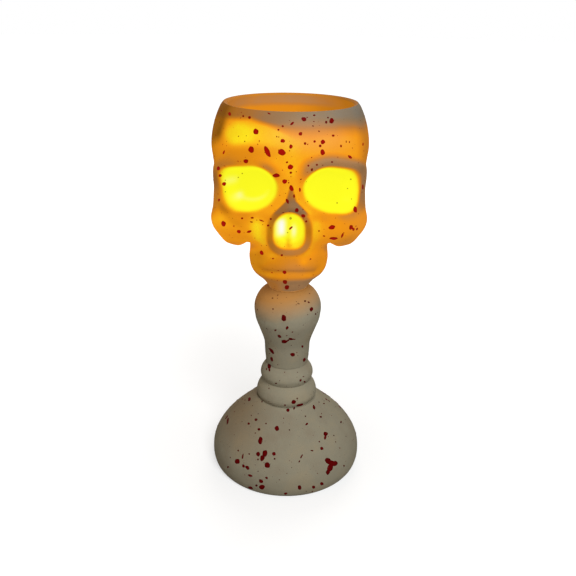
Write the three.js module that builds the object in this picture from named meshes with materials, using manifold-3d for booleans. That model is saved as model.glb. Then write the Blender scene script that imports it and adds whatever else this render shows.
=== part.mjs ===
import * as THREE from 'three';
import { mergeVertices } from 'three/addons/utils/BufferGeometryUtils.js';
import Module from 'manifold-3d';

const wasm = await Module();
wasm.setup();

// Skull candle holder. Millimetres, Z up, the face looks along -Y, and the foot pad's lower face is at Z = 0.

// Clearances shared by every fit
const fitGap = 0.3; // round a piece that passes through another
const jointGap = 0.2; // between two faces that bear on each other
const overrun = 2; // how far a cutting shape runs past the piece it cuts

// Tie rod and its fasteners
const rodRadius = 3;
const rodReveal = 1; // thread that shows past each nut
const nutWidth = 10; // across flats
const cupNutHeight = 3.2;
const baseNutHeight = 5;
const washerThickness = 1;
const washerRadius = 6;
const baseWasherRadius = 8;
const lockWasherThickness = 1.4;
const lockWasherRadius = 5.4;
const lockWasherSlit = 1.2;
const innerGasketThickness = 0.8;
const seatGasketThickness = 0.6;

// Registers that centre the stacked pieces on each other
const spigotRadius = 7.6;
const spigotLength = 3.6;

// Foot pad and base
const padThickness = 1.6;
const padRadius = 40;
const padReveal = 0.6; // how far the pad stands below the base
const baseRadius = 47.6;
const baseHeight = 45.6;
const baseWall = 4;
const bossRadius = 9;
const bossRise = 12.4; // from the base's lower edge up to the face that the nut pulls on

// Turned collar and stem
const collarRadius = 19.2;
const collarHeight = 24.3;
const stemRadius = 20.4;
const stemHeight = 50.5;

// Skull cup
const cupNeckRadius = 11.8;
const cupWebThickness = 4; // glass between the socket below and the nut's pocket above
const pocketRadius = 8.5;
const pocketMargin = 1.4; // from the end of the rod up to the floor
const jawRadius = 23.2; // half width of the jaw
const headRadius = 45.1; // half width over the cheekbones
const headHeight = 92; // from the floor that the candle stands on up to the rim
const glassThickness = 2.2;
const mouthRadius = 34.5; // inside the rim
const lipDrop = 0.9; // how far the rim's inner edge lies below its crest

// Sunk eyes and nose, measured from the middle of the face and from the cup's floor
const eyeSpread = 23.4;
const eyeLevel = 52.8;
const eyeInnerReach = 16.4;
const eyeOuterReach = 13.4;
const eyeOuterSlant = 1.2; // how much farther out the outer edge stands at the eye's top than at its middle
const eyeRise = 12.2;
const eyeDrop = 12.2;
const eyeDepth = 6;
const noseLevel = 30.2;
const noseReach = 9;
const noseRise = 10.2;
const noseDrop = 10.2;
const noseDepth = 5;
const septumWidth = 3;
const septumHeight = 2.6;

// Raised parts of the face
const browRelief = 1.5;
const bridgeRelief = 1.6;
const bridgeReach = 5;
const noseRimRelief = 1.1;
const muzzleRelief = 1.1;
const muzzleReach = 16.5;
const toothLineLevel = 7.6;

// Flameless tealight
const candleRadius = 19;
const candleHeight = 18;
const candleWall = 1.2;
const candleClearance = 1.3; // between the candle and the wall of the jaw
const dishDrop = 2.3; // how deep the middle of the wax-like top lies
const plateThickness = 1.8;
const plateInset = 0.4;
const flameRadius = 4.2;
const flameFlange = 1.2;
const flameFlangeThickness = 1;
const flameHeight = 16.5;
const ledRadius = 2.5;
const ledHeight = 7.4;
const ledFlange = 0.4;
const ledFlangeThickness = 0.9;
const ledLeadRadius = 0.3;
const ledLeadSpacing = 2.54;

// Button cell and its door
const cellRadius = 10;
const cellThickness = 3.2;
const cellOffset = 4; // the cell lies off the middle to leave room for the switch
const cellMargin = 0.5; // between the cell and the door's rim
const cellStep = 1; // the smaller pole's rim
const doorLugReach = 1.4;
const doorLugThickness = 0.8;
const doorTurn = THREE.MathUtils.degToRad(35);
const coinSlotWidth = 1.8;
const coinSlotDepth = 1;
const cradleWall = 1.2;

// Contacts and switch
const stripThickness = 0.3;
const stripWidth = 3;
const stripRise = 1.6; // from the cell's upper face up to the positive arm
const switchOffset = 12;
const switchWidth = 2.6;
const switchLength = 4.4;
const switchFlange = 1;
const switchTravel = 3;

// Levels of the stack, from the table up
const baseFoot = padReveal;
const baseTop = baseFoot + baseHeight;
const collarFoot = baseTop + jointGap;
const collarTop = collarFoot + collarHeight;
const stemFoot = collarTop + jointGap;
const stemTop = stemFoot + stemHeight;
const cupSeam = stemTop + seatGasketThickness + 2 * jointGap;
const cupSocketTop = cupSeam + spigotLength;
const pocketFloor = cupSocketTop + cupWebThickness;
const innerGasketFoot = pocketFloor + jointGap;
const cupWasherFoot = innerGasketFoot + innerGasketThickness + jointGap;
const cupNutFoot = cupWasherFoot + washerThickness + jointGap;
const rodTop = cupNutFoot + cupNutHeight + rodReveal;
const cupFloor = rodTop + pocketMargin;
const cupRim = cupFloor + headHeight;
const bossFace = baseFoot + bossRise;
const baseWasherFoot = bossFace - jointGap - washerThickness;
const lockWasherFoot = baseWasherFoot - jointGap - lockWasherThickness;
const baseNutFoot = lockWasherFoot - jointGap - baseNutHeight;
const rodFoot = baseNutFoot - rodReveal;
const rodHole = rodRadius + fitGap;
const socketRadius = spigotRadius + fitGap;

// Levels of the tealight
const candleFoot = cupFloor + jointGap;
const candleTop = candleFoot + candleHeight;
const dishLevel = candleTop - dishDrop;
const plateFoot = candleFoot + plateInset;
const plateTop = plateFoot + plateThickness;
const lugFoot = plateTop + jointGap;
const doorTop = lugFoot + doorLugThickness;
const cellFoot = doorTop + jointGap;
const cellTop = cellFoot + cellThickness;
const doorRadius = cellRadius + cellMargin;
const doorHoleRadius = doorRadius + fitGap;
const armLevel = cellTop + stripRise;
const flameFlangeTop = dishLevel - candleWall - jointGap;
const flameFlangeFoot = flameFlangeTop - flameFlangeThickness;
const ledFlangeTop = flameFlangeFoot - jointGap;
const ledFlangeFoot = ledFlangeTop - ledFlangeThickness;

// Facets
const turnedSides = 36;
const smallSides = 20;
const cupSides = 48;
const frontCrowding = 0.35; // the cup's columns stand closer together at the face

// A turned body. The outline is a list of [radius, height] that runs up the outside and closes on itself.
function turned(outline, sides = turnedSides) {
  const points = outline.map(([radius, height]) => new THREE.Vector2(radius, height));
  points.push(points[0].clone());
  return new THREE.LatheGeometry(points, sides).rotateX(Math.PI / 2);
}

// A smooth run through a few [height share, reach share] pairs
function smoothRun(shares, place, steps) {
  const points = shares.map(([up, out]) => new THREE.Vector2(...place(up, out)));
  return new THREE.SplineCurve(points).getPoints(steps).map((point) => [point.x, point.y]);
}

// A flat ring or washer
function ring(inner, outer, foot, thickness, sides = smallSides) {
  return turned([[inner, foot], [outer, foot], [outer, foot + thickness], [inner, foot + thickness]], sides);
}

// A plate of the given outline, standing on the given level
function plate(shape, foot, thickness, curveSegments = smallSides) {
  const options = { depth: thickness, bevelEnabled: false, curveSegments };
  return new THREE.ExtrudeGeometry(shape, options).translate(0, 0, foot);
}

function disc(radius, foot, thickness, sides = smallSides) {
  return new THREE.CylinderGeometry(radius, radius, thickness, sides)
    .rotateX(Math.PI / 2)
    .translate(0, 0, foot + thickness / 2);
}

function block(width, depth, height, foot) {
  return new THREE.BoxGeometry(width, depth, height).translate(0, 0, foot + height / 2);
}

// Closed indexed mesh for a boolean
function solid(geometry) {
  const bare = geometry.clone();
  bare.deleteAttribute('normal');
  bare.deleteAttribute('uv');
  const merged = mergeVertices(bare);
  const vertProperties = new Float32Array(merged.attributes.position.array);
  const triVerts = new Uint32Array(merged.index.array);
  return new wasm.Manifold(new wasm.Mesh({ numProp: 3, vertProperties, triVerts }));
}

function geometryOf(body) {
  const mesh = body.getMesh();
  const geometry = new THREE.BufferGeometry();
  geometry.setAttribute('position', new THREE.BufferAttribute(mesh.vertProperties, 3));
  geometry.setIndex(new THREE.BufferAttribute(mesh.triVerts, 1));
  geometry.computeVertexNormals();
  return geometry;
}

function joined(first, ...others) {
  return geometryOf(others.reduce((body, other) => body.add(solid(other)), solid(first)));
}

function cut(body, ...cutters) {
  return geometryOf(cutters.reduce((left, cutter) => left.subtract(solid(cutter)), solid(body)));
}

// Materials
function finish(color, roughness, metalness = 0, extra = {}) {
  return new THREE.MeshStandardMaterial({ color, roughness, metalness, ...extra });
}

const litGlass = finish(0xf0a030, 0.45, 0, { emissive: 0x6a3a00 });
const mattPaint = finish(0x8f8772, 0.85);
const steel = finish(0xb4b7ba, 0.35, 0.9);
const softRubber = finish(0x2c2b29, 0.9);
const felt = finish(0x2e2c2a, 1);
const ivoryPlastic = finish(0xeee4cb, 0.6);
const flamePlastic = finish(0xffb347, 0.35, 0, { emissive: 0x7a3c00 });
const clearEpoxy = finish(0xf3efe2, 0.15);
const nickel = finish(0xc9c6bd, 0.3, 0.9);
const blackPlastic = finish(0x222222, 0.55);

const holder = new THREE.Group();

function add(name, geometry, material) {
  const mesh = new THREE.Mesh(geometry, material);
  mesh.name = name;
  holder.add(mesh);
}

// Foot pad
add('foot_pad', disc(padRadius, 0, padThickness, turnedSides), felt);

// Base: a dome that rolls under to the foot, hollow below, with a boss for the tie rod
const baseShares = [
  [0, 0.93], [0.045, 0.972], [0.15, 1], [0.307, 0.972], [0.467, 0.852],
  [0.627, 0.652], [0.787, 0.389], [0.947, 0.1], [1, 0],
];
const hollowShares = [
  [0.03, 0.88], [0.15, 0.96], [0.31, 0.95], [0.46, 0.87], [0.61, 0.73], [0.755, 0.52], [0.82, 0.3],
];

function makeBase() {
  const dome = smoothRun(baseShares, (up, out) => [
    collarRadius + out * (baseRadius - collarRadius), baseFoot + up * baseHeight,
  ], 12);
  const hollow = smoothRun(hollowShares, (up, out) => [
    out * (baseRadius - baseWall), baseFoot + up * baseHeight,
  ], 6).reverse();
  const roof = hollow[0][1];
  const padSeat = baseFoot - padReveal + padThickness + jointGap;
  const padRecess = padRadius + fitGap;
  const rimInner = hollow[hollow.length - 1][0];
  hollow.pop();
  return turned([
    ...dome,
    [socketRadius, baseTop],
    [socketRadius, baseTop - spigotLength - jointGap],
    [rodHole, baseTop - spigotLength - jointGap],
    [rodHole, bossFace],
    [bossRadius, bossFace],
    [bossRadius, roof],
    ...hollow,
    [rimInner, padSeat],
    [padRecess, padSeat],
    [padRecess, baseFoot],
  ]);
}
add('base', makeBase(), mattPaint);

// Collar: two beads with a sharp groove between them
const lowerBeadShares = [[0, 0.94], [0.086, 0.985], [0.17, 0.99], [0.313, 0.937], [0.436, 0.837], [0.502, 0.787]];
const upperBeadShares = [[0.502, 0.787], [0.58, 0.835], [0.68, 0.862], [0.8, 0.824], [0.91, 0.73], [1, 0.65]];

function makeCollar() {
  const place = (up, out) => [out * collarRadius, collarFoot + up * collarHeight];
  const lowerBead = smoothRun(lowerBeadShares, place, 6);
  const upperBead = smoothRun(upperBeadShares, place, 6).slice(1);
  return turned([
    [spigotRadius, collarFoot - spigotLength],
    [spigotRadius, collarFoot],
    ...lowerBead,
    ...upperBead,
    [socketRadius, collarTop],
    [socketRadius, collarTop - spigotLength - jointGap],
    [rodHole, collarTop - spigotLength - jointGap],
    [rodHole, collarFoot - spigotLength],
  ]);
}
add('stem_collar', makeCollar(), mattPaint);

// Stem: a slim waist that swells into a bulb under the cup
const stemShares = [
  [0, 0.647], [0.14, 0.676], [0.285, 0.702], [0.43, 0.816], [0.575, 0.947],
  [0.65, 0.982], [0.72, 1], [0.79, 0.984], [0.865, 0.918], [0.94, 0.79], [1, 0.58],
];

function makeStem() {
  const bulb = smoothRun(stemShares, (up, out) => [out * stemRadius, stemFoot + up * stemHeight], 15);
  return turned([
    [spigotRadius, stemFoot - spigotLength],
    [spigotRadius, stemFoot],
    ...bulb,
    [spigotRadius, stemTop],
    [spigotRadius, cupSocketTop - jointGap],
    [rodHole, cupSocketTop - jointGap],
    [rodHole, stemFoot - spigotLength],
  ]);
}
add('stem', makeStem(), mattPaint);

// Skull cup. Each row of the outline gives how far out and how high it runs at five stations round the head:
// the front, a sixth and a third of the way to the back, the side, and the back.
const stationShares = [0, 1 / 6, 1 / 3, 1 / 2, 1];

// Reach from the neck out to the jaw, height from the seam up to the floor
const bowlShares = [
  { reach: [0.50, 0.46, 0.35, 0.31, 0.32], height: [0.44, 0.41, 0.34, 0.31, 0.31] },
  { reach: [1.08, 1.04, 0.84, 0.74, 0.75], height: [0.82, 0.79, 0.68, 0.60, 0.60] },
  { reach: [1.42, 1.37, 1.06, 0.90, 0.92], height: [1.15, 1.09, 0.96, 0.85, 0.86] },
];

// Reach from the jaw out to the cheekbones, height from the floor up to the rim
const headShares = [
  { reach: [0.283, 0.270, 0.080, -0.015, -0.01], height: [0.084, 0.073, 0.051, 0.035, 0.035] }, // jaw
  { reach: [0.384, 0.330, 0.090, -0.01, 0.03], height: [0.153, 0.172, 0.162, 0.122, 0.112] }, // notch
  { reach: [0.457, 0.450, 0.310, 0.290, 0.290], height: [0.189, 0.215, 0.171, 0.093, 0.094] }, // ledge
  { reach: [0.539, 0.610, 0.630, 0.575, 0.540], height: [0.226, 0.244, 0.178, 0.118, 0.120] }, // cheek lobe
  { reach: [0.621, 0.785, 0.865, 0.820, 0.749], height: [0.274, 0.275, 0.239, 0.186, 0.180] },
  { reach: [0.685, 0.865, 0.970, 0.960, 0.868], height: [0.324, 0.316, 0.287, 0.240, 0.236] },
  { reach: [0.731, 0.886, 1.000, 1.000, 0.922], height: [0.373, 0.368, 0.333, 0.291, 0.297] }, // cheekbone
  { reach: [0.767, 0.877, 0.948, 0.942, 0.945], height: [0.422, 0.427, 0.400, 0.365, 0.373] },
  { reach: [0.785, 0.858, 0.908, 0.916, 0.968], height: [0.482, 0.487, 0.471, 0.449, 0.455] },
  { reach: [0.795, 0.855, 0.885, 0.888, 0.982], height: [0.547, 0.553, 0.547, 0.537, 0.542] }, // temple
  { reach: [0.831, 0.886, 0.893, 0.868, 0.986], height: [0.613, 0.618, 0.618, 0.618, 0.618] },
  { reach: [0.881, 0.938, 0.935, 0.903, 0.982], height: [0.678, 0.684, 0.684, 0.684, 0.684] }, // brow
  { reach: [0.913, 0.950, 0.954, 0.936, 0.973], height: [0.755, 0.755, 0.755, 0.755, 0.755] },
  { reach: [0.895, 0.913, 0.913, 0.900, 0.918], height: [0.836, 0.836, 0.836, 0.836, 0.836] },
  { reach: [0.804, 0.808, 0.808, 0.808, 0.813], height: [0.916, 0.916, 0.916, 0.916, 0.916] }, // crown
  { reach: [0.680, 0.680, 0.680, 0.680, 0.680], height: [0.983, 0.983, 0.983, 0.983, 0.983] },
  { reach: [0.622, 0.622, 0.622, 0.622, 0.622], height: [1, 1, 1, 1, 1] }, // rim
];
const jawSpan = bowlShares.length + 1;
const browSpan = jawSpan + 11;

// Smooth value between the stations, level at the front and at the back
function aroundHead(values, turn) {
  const share = Math.min(Math.abs(turn) / Math.PI, 1);
  const last = stationShares.length - 1;
  let at = 0;
  while (at < last - 1 && share > stationShares[at + 1]) {
    at += 1;
  }
  const rate = (from) => (values[from + 1] - values[from]) / (stationShares[from + 1] - stationShares[from]);
  const slope = (station) => {
    if (station === 0 || station === last) {
      return 0;
    }
    const before = stationShares[station] - stationShares[station - 1];
    const after = stationShares[station + 1] - stationShares[station];
    return (rate(station - 1) * after + rate(station) * before) / (before + after);
  };
  const span = stationShares[at + 1] - stationShares[at];
  const t = (share - stationShares[at]) / span;
  const rest = 1 - t;
  return values[at] * (1 + 2 * t) * rest * rest + values[at + 1] * t * t * (3 - 2 * t)
    + span * (slope(at) * t * rest * rest - slope(at + 1) * t * t * rest);
}

// The head's outline in the half plane at one turn from the front, as a curve of (radius, 0, height)
function headOutline(turn) {
  const points = [new THREE.Vector3(cupNeckRadius, 0, cupSeam)];
  for (const row of bowlShares) {
    points.push(new THREE.Vector3(
      cupNeckRadius + aroundHead(row.reach, turn) * (jawRadius - cupNeckRadius), 0,
      cupSeam + aroundHead(row.height, turn) * (cupFloor - cupSeam),
    ));
  }
  for (const row of headShares) {
    points.push(new THREE.Vector3(
      jawRadius + aroundHead(row.reach, turn) * (headRadius - jawRadius), 0,
      cupFloor + aroundHead(row.height, turn) * headHeight,
    ));
  }
  return new THREE.CatmullRomCurve3(points);
}

function smoothStep(value) {
  const t = THREE.MathUtils.clamp(value, 0, 1);
  return t * t * (3 - 2 * t);
}

function bump(distance, width) {
  return Math.exp(-((distance / width) ** 2));
}

// Distance from the middle of a rounded opening, 1 on its edge. Each quarter has its own squareness.
function roundedDistance(across, up, reach, rise, squareness) {
  return (Math.abs(across / reach) ** squareness + Math.abs(up / rise) ** squareness) ** (1 / squareness);
}

function eyeDistance(x, level) {
  const across = Math.abs(x) - eyeSpread;
  const up = level - eyeLevel;
  const rise = up > 0 ? eyeRise : eyeDrop;
  const outerReach = eyeOuterReach + eyeOuterSlant * THREE.MathUtils.clamp(up / rise, -1, 1);
  const reach = across > 0 ? outerReach : eyeInnerReach;
  const outerSquareness = up > 0 ? 6 : 2.8;
  return roundedDistance(across, up, reach, rise, across > 0 ? outerSquareness : 2);
}

function noseDistance(x, level) {
  const up = level - noseLevel;
  return roundedDistance(x, up, noseReach, up > 0 ? noseRise : noseDrop, up > 0 ? 2 : 2.5);
}

// The features of the face droop towards its sides, so heights are read along this slope
const faceSlopeShare = 0.375;

function faceLevel(y, z) {
  return z - cupFloor + faceSlopeShare * (y + 0.843 * headRadius);
}

// How far the face is pushed in by its eyes and nose
function faceHollow(x, y, z) {
  const front = smoothStep(-y / (0.27 * headRadius));
  const level = faceLevel(y, z);
  const eye = eyeDepth * smoothStep((1.12 - eyeDistance(x, level)) / 0.5);
  const nose = noseDepth * smoothStep((1.12 - noseDistance(x, level)) / 0.5);
  const nearNoseFoot = smoothStep((noseLevel - level) / noseDrop + 0.3);
  const septum = septumHeight * bump(x, septumWidth / 2) * nearNoseFoot * smoothStep((1 - noseDistance(x, level)) / 0.3);
  return front * (eye + nose - septum);
}

// How far the brows, the bridge, the nose's rim and the muzzle stand out
function faceRelief(x, y, z) {
  const front = smoothStep(-y / (0.27 * headRadius));
  const level = faceLevel(y, z);
  const above = smoothStep((level - eyeLevel) / eyeRise);
  const brow = browRelief * above * bump(eyeDistance(x, level) - 1.28, 0.2);
  const bridge = bridgeRelief * bump(x, bridgeReach) * bump(level - eyeLevel, eyeDrop);
  const noseRim = noseRimRelief * bump(noseDistance(x, level) - 1.25, 0.2);
  const muzzleSide = smoothStep((muzzleReach - Math.abs(x)) / (muzzleReach / 5));
  const muzzleUp = smoothStep((level - toothLineLevel) / (toothLineLevel / 4));
  const muzzleFade = 1 - smoothStep((level - 2 * toothLineLevel) / toothLineLevel);
  return front * (brow + bridge + noseRim + muzzleRelief * muzzleSide * muzzleUp * muzzleFade);
}

// Places along the outline, in spans: one for each row of the tables, and two over the face
function cupRows() {
  const rows = [];
  for (let span = 0; span < bowlShares.length + headShares.length; span += 1) {
    rows.push(span);
    if (span >= jawSpan && span < browSpan) {
      rows.push(span + 0.5);
    }
  }
  return rows;
}

// A point of the cup's skin at a turn from the front, pushed in or out along its radius
function skinPoint(radius, height, turn, push) {
  const reach = radius + push;
  return new THREE.Vector3(reach * Math.sin(turn), -reach * Math.cos(turn), height);
}

// One column of the cup: up the outside, over the rim, down the inside, and through the floor to the seam
function cupColumn(turn) {
  const outline = headOutline(turn);
  const spans = bowlShares.length + headShares.length;
  const column = [];
  const inside = [];
  const wellRadius = candleRadius + candleClearance;
  for (const row of [...cupRows(), spans]) {
    const along = row / spans;
    const { x: radius, z: height } = outline.getPoint(along);
    const bare = skinPoint(radius, height, turn, 0);
    const hollow = faceHollow(bare.x, bare.y, bare.z);
    const relief = faceRelief(bare.x, bare.y, bare.z);
    column.push(skinPoint(radius, height, turn, relief - hollow));
    if (row >= jawSpan && row < spans - 1) {
      const tangent = outline.getTangent(along);
      const innerRadius = Math.max(radius - glassThickness * tangent.z, wellRadius);
      inside.push(skinPoint(innerRadius, height + glassThickness * tangent.x, turn, -hollow));
    }
  }
  const lip = skinPoint(mouthRadius, cupRim - lipDrop, turn, 0);
  const steps = [
    [wellRadius, cupFloor + glassThickness / 2],
    [wellRadius - glassThickness / 2, cupFloor],
    [pocketRadius, cupFloor],
    [pocketRadius, pocketFloor],
    [rodHole, pocketFloor],
    [rodHole, cupSocketTop],
    [socketRadius, cupSocketTop],
    [socketRadius, cupSeam],
  ];
  return [...column, lip, ...inside.reverse(), ...steps.map(([radius, z]) => skinPoint(radius, z, turn, 0))];
}

function makeCup() {
  const columns = [];
  for (let side = 0; side < cupSides; side += 1) {
    const even = (2 * Math.PI * side) / cupSides;
    const turn = even - frontCrowding * Math.sin(even);
    columns.push(cupColumn(turn > Math.PI ? turn - 2 * Math.PI : turn));
  }
  const rows = columns[0].length;
  const positions = columns.flatMap((column) => column.flatMap((point) => point.toArray()));
  const index = [];
  for (let side = 0; side < cupSides; side += 1) {
    const next = (side + 1) % cupSides;
    for (let row = 0; row < rows; row += 1) {
      const up = (row + 1) % rows;
      const [a, b, c, d] = [side * rows + row, next * rows + row, next * rows + up, side * rows + up];
      index.push(a, b, c, a, c, d);
    }
  }
  const geometry = new THREE.BufferGeometry();
  geometry.setAttribute('position', new THREE.Float32BufferAttribute(positions, 3));
  geometry.setIndex(index);
  geometry.computeVertexNormals();
  return geometry;
}
add('skull_cup', makeCup(), litGlass);

// Tie rod with its washers, gaskets and nuts
function hexNut(foot, height) {
  const shape = new THREE.Shape();
  const corner = nutWidth / Math.sqrt(3);
  for (let side = 0; side < 6; side += 1) {
    const angle = (side * Math.PI) / 3;
    const move = side === 0 ? 'moveTo' : 'lineTo';
    shape[move](corner * Math.cos(angle), corner * Math.sin(angle));
  }
  shape.closePath();
  shape.holes.push(new THREE.Path().absarc(0, 0, rodHole, 0, 2 * Math.PI, true));
  return plate(shape, foot, height, smallSides / 2);
}

function makeLockWasher() {
  const half = Math.asin(lockWasherSlit / 2 / rodHole);
  const shape = new THREE.Shape();
  shape.absarc(0, 0, lockWasherRadius, half, 2 * Math.PI - half, false);
  shape.absarc(0, 0, rodHole, 2 * Math.PI - half, half, true);
  shape.closePath();
  return plate(shape, lockWasherFoot, lockWasherThickness, smallSides / 2);
}

add('tie_rod', disc(rodRadius, rodFoot, rodTop - rodFoot, smallSides), steel);
add('cup_seat_gasket', ring(socketRadius, 0.9 * cupNeckRadius, stemTop + jointGap, seatGasketThickness), softRubber);
add('cup_inner_gasket', ring(rodHole, pocketRadius - fitGap, innerGasketFoot, innerGasketThickness), softRubber);
add('cup_washer', ring(rodHole, washerRadius, cupWasherFoot, washerThickness), steel);
add('cup_nut', hexNut(cupNutFoot, cupNutHeight), steel);
add('base_washer', ring(rodHole, baseWasherRadius, baseWasherFoot, washerThickness), steel);
add('base_lock_washer', makeLockWasher(), steel);
add('base_nut', hexNut(baseNutFoot, baseNutHeight), steel);

// Candle shell: straight sides, a rounded shoulder and a dished top with a hole for the flame
const dishShares = [[0.9, 0.92], [0.74, 0.52], [0.48, 0.14], [0.24, 0]];

function makeCandleShell() {
  const hole = flameRadius + fitGap;
  const shoulder = candleWall;
  const inner = candleRadius - candleWall;
  const dish = dishShares.map(([out, up]) => [out * candleRadius, dishLevel + up * dishDrop]);
  const under = dish.map(([radius, level]) => [radius - candleWall / 2, level - candleWall]).slice(1, -1);
  return turned([
    [candleRadius, candleFoot],
    [candleRadius, candleTop - shoulder],
    [candleRadius - 0.3 * shoulder, candleTop - 0.3 * shoulder],
    [candleRadius - shoulder, candleTop],
    ...dish,
    [hole, dishLevel],
    [hole, dishLevel - candleWall],
    ...under.reverse(),
    [inner, candleTop - 2 * shoulder],
    [inner, candleFoot],
  ]);
}
add('candle_shell', makeCandleShell(), ivoryPlastic);

// Flame tip: a hollow tip on a collar, held under the shell's top by its flange
const flameShares = [[0, 1], [0.3, 1], [0.45, 0.93], [0.6, 0.74], [0.75, 0.5], [0.88, 0.26]];

function makeFlameTip() {
  const bore = ledRadius + fitGap;
  const boreTop = ledFlangeTop + ledHeight + fitGap;
  const points = [
    [0, boreTop],
    [0.7 * bore, boreTop - 0.3 * bore],
    [bore, boreTop - bore],
    [bore, flameFlangeFoot],
    [flameRadius + flameFlange, flameFlangeFoot],
    [flameRadius + flameFlange, flameFlangeTop],
    ...flameShares.map(([up, out]) => [out * flameRadius, flameFlangeTop + up * flameHeight]),
    [0, flameFlangeTop + flameHeight],
  ].map(([radius, level]) => new THREE.Vector2(radius, level));
  return new THREE.LatheGeometry(points, smallSides).rotateX(Math.PI / 2);
}
add('flame_tip', makeFlameTip(), flamePlastic);

// Light-emitting diode: a domed lens on a flange, with two leads down to the contacts
function makeLed() {
  const lens = [
    [0, ledFlangeFoot],
    [ledRadius + ledFlange, ledFlangeFoot],
    [ledRadius + ledFlange, ledFlangeTop],
    [ledRadius, ledFlangeTop],
    [ledRadius, ledFlangeTop + ledHeight - ledRadius],
    [0.7 * ledRadius, ledFlangeTop + ledHeight - 0.3 * ledRadius],
    [0, ledFlangeTop + ledHeight],
  ].map(([radius, level]) => new THREE.Vector2(radius, level));
  const body = new THREE.LatheGeometry(lens, smallSides).rotateX(Math.PI / 2);
  const lead = (side, foot) => disc(ledLeadRadius, foot, ledFlangeTop - foot, 8)
    .translate((side * ledLeadSpacing) / 2, 0, 0);
  const positiveFoot = armLevel + stripThickness + jointGap;
  const negativeFoot = cellTop + stripThickness + 2 * jointGap;
  return joined(body, lead(1, positiveFoot), lead(-1, negativeFoot));
}
add('flame_led', makeLed(), clearEpoxy);

// A ring sector centred on the cell
function sector(inner, outer, middle, halfAngle, foot, thickness) {
  const shape = new THREE.Shape();
  shape.absarc(0, 0, outer, middle - halfAngle, middle + halfAngle, false);
  shape.absarc(0, 0, inner, middle + halfAngle, middle - halfAngle, true);
  shape.closePath();
  return plate(shape, foot, thickness, 10).translate(-cellOffset, 0, 0);
}

// Candle base: a plate with the door's opening, its two lug notches, the switch slot and the cell's cradle
const lugHalfAngle = Math.PI / 13;
const cradleHalfAngle = Math.PI / 5;
const lugRadius = doorRadius + doorLugReach;

function makeCandleBase() {
  const plateRadius = candleRadius - candleWall - fitGap;
  const cutFoot = plateFoot - overrun;
  const cutHeight = plateThickness + 2 * overrun;
  const opening = disc(doorHoleRadius, cutFoot, cutHeight, turnedSides).translate(-cellOffset, 0, 0);
  const notchHalfAngle = lugHalfAngle + fitGap / doorRadius;
  const notches = [Math.PI / 2, -Math.PI / 2].map((lug) => (
    sector(doorRadius / 2, lugRadius + fitGap, lug + doorTurn, notchHalfAngle, cutFoot, cutHeight)
  ));
  const slotLength = switchLength + switchTravel + 2 * fitGap;
  const slot = block(switchWidth + 2 * fitGap, slotLength, cutHeight, cutFoot).translate(switchOffset, 0, 0);
  const cradleHeight = cellTop - plateTop + plateThickness / 2;
  const cradles = [0, Math.PI].map((middle) => (
    sector(doorHoleRadius, doorHoleRadius + cradleWall, middle, cradleHalfAngle,
      plateTop - plateThickness / 2, cradleHeight)
  ));
  const openPlate = cut(disc(plateRadius, plateFoot, plateThickness, turnedSides), opening, ...notches, slot);
  return joined(openPlate, ...cradles);
}
add('candle_base', makeCandleBase(), ivoryPlastic);

// Battery door: a disc with two lugs over the plate and a slot for a coin
function makeDoor() {
  const body = disc(doorRadius, plateFoot, doorTop - plateFoot, turnedSides).translate(-cellOffset, 0, 0);
  const lugs = [Math.PI / 2, -Math.PI / 2].map((lug) => (
    sector(doorRadius / 2, lugRadius, lug, lugHalfAngle, lugFoot, doorLugThickness)
  ));
  const coinSlot = block(1.3 * doorRadius, coinSlotWidth, coinSlotDepth + overrun, plateFoot - overrun)
    .translate(-cellOffset, 0, 0);
  return cut(joined(body, ...lugs), coinSlot);
}
add('battery_door', makeDoor(), ivoryPlastic);

// Button cell: a can with a narrower rim at its upper pole
function makeCell() {
  const rim = cellThickness / 4;
  const points = [
    [0, cellFoot],
    [cellRadius, cellFoot],
    [cellRadius, cellTop - rim],
    [cellRadius - cellStep, cellTop - rim],
    [cellRadius - cellStep, cellTop],
    [0, cellTop],
  ].map(([radius, level]) => new THREE.Vector2(radius, level));
  return new THREE.LatheGeometry(points, smallSides).rotateX(Math.PI / 2).translate(-cellOffset, 0, 0);
}
add('coin_cell', makeCell(), nickel);

// A bent metal strip: an outline in the (along, up) plane, as wide as the strip
function strip(outline) {
  const shape = new THREE.Shape(outline.map(([along, up]) => new THREE.Vector2(along, up)));
  const options = { depth: stripWidth, bevelEnabled: false };
  return new THREE.ExtrudeGeometry(shape, options).translate(0, 0, -stripWidth / 2).rotateX(Math.PI / 2);
}

// Positive contact: it stands on the plate, rises past the cell's side and reaches in over it to the lead
function makePositiveContact() {
  const centre = ledLeadSpacing / 2;
  const nearest = centre - stripWidth / 2 + cellOffset;
  const inner = Math.sqrt(doorHoleRadius ** 2 - nearest ** 2);
  const outer = inner + stripThickness;
  const footEnd = outer + stripWidth;
  const foot = plateTop + jointGap;
  const outline = [
    [footEnd, foot], [footEnd, foot + stripThickness], [outer, foot + stripThickness],
    [outer, armLevel + stripThickness], [-stripWidth / 3, armLevel + stripThickness],
    [-stripWidth / 3, armLevel], [inner, armLevel], [inner, foot],
  ];
  return strip(outline).rotateZ(Math.PI / 2).translate(centre, 0, 0);
}
add('contact_plus', makePositiveContact(), nickel);

// Negative contact: a leaf over the cell that hooks down behind the cradle
function makeNegativeContact() {
  const inner = ledLeadSpacing / 2 - stripWidth / 3;
  const back = cellOffset + doorHoleRadius + cradleWall + fitGap;
  const level = cellTop + jointGap;
  const hook = cellFoot;
  const outline = [
    [-inner, level], [-inner, level + stripThickness], [-back - stripThickness, level + stripThickness],
    [-back - stripThickness, hook], [-back, hook], [-back, level],
  ];
  return strip(outline);
}
add('contact_minus', makeNegativeContact(), nickel);

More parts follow.
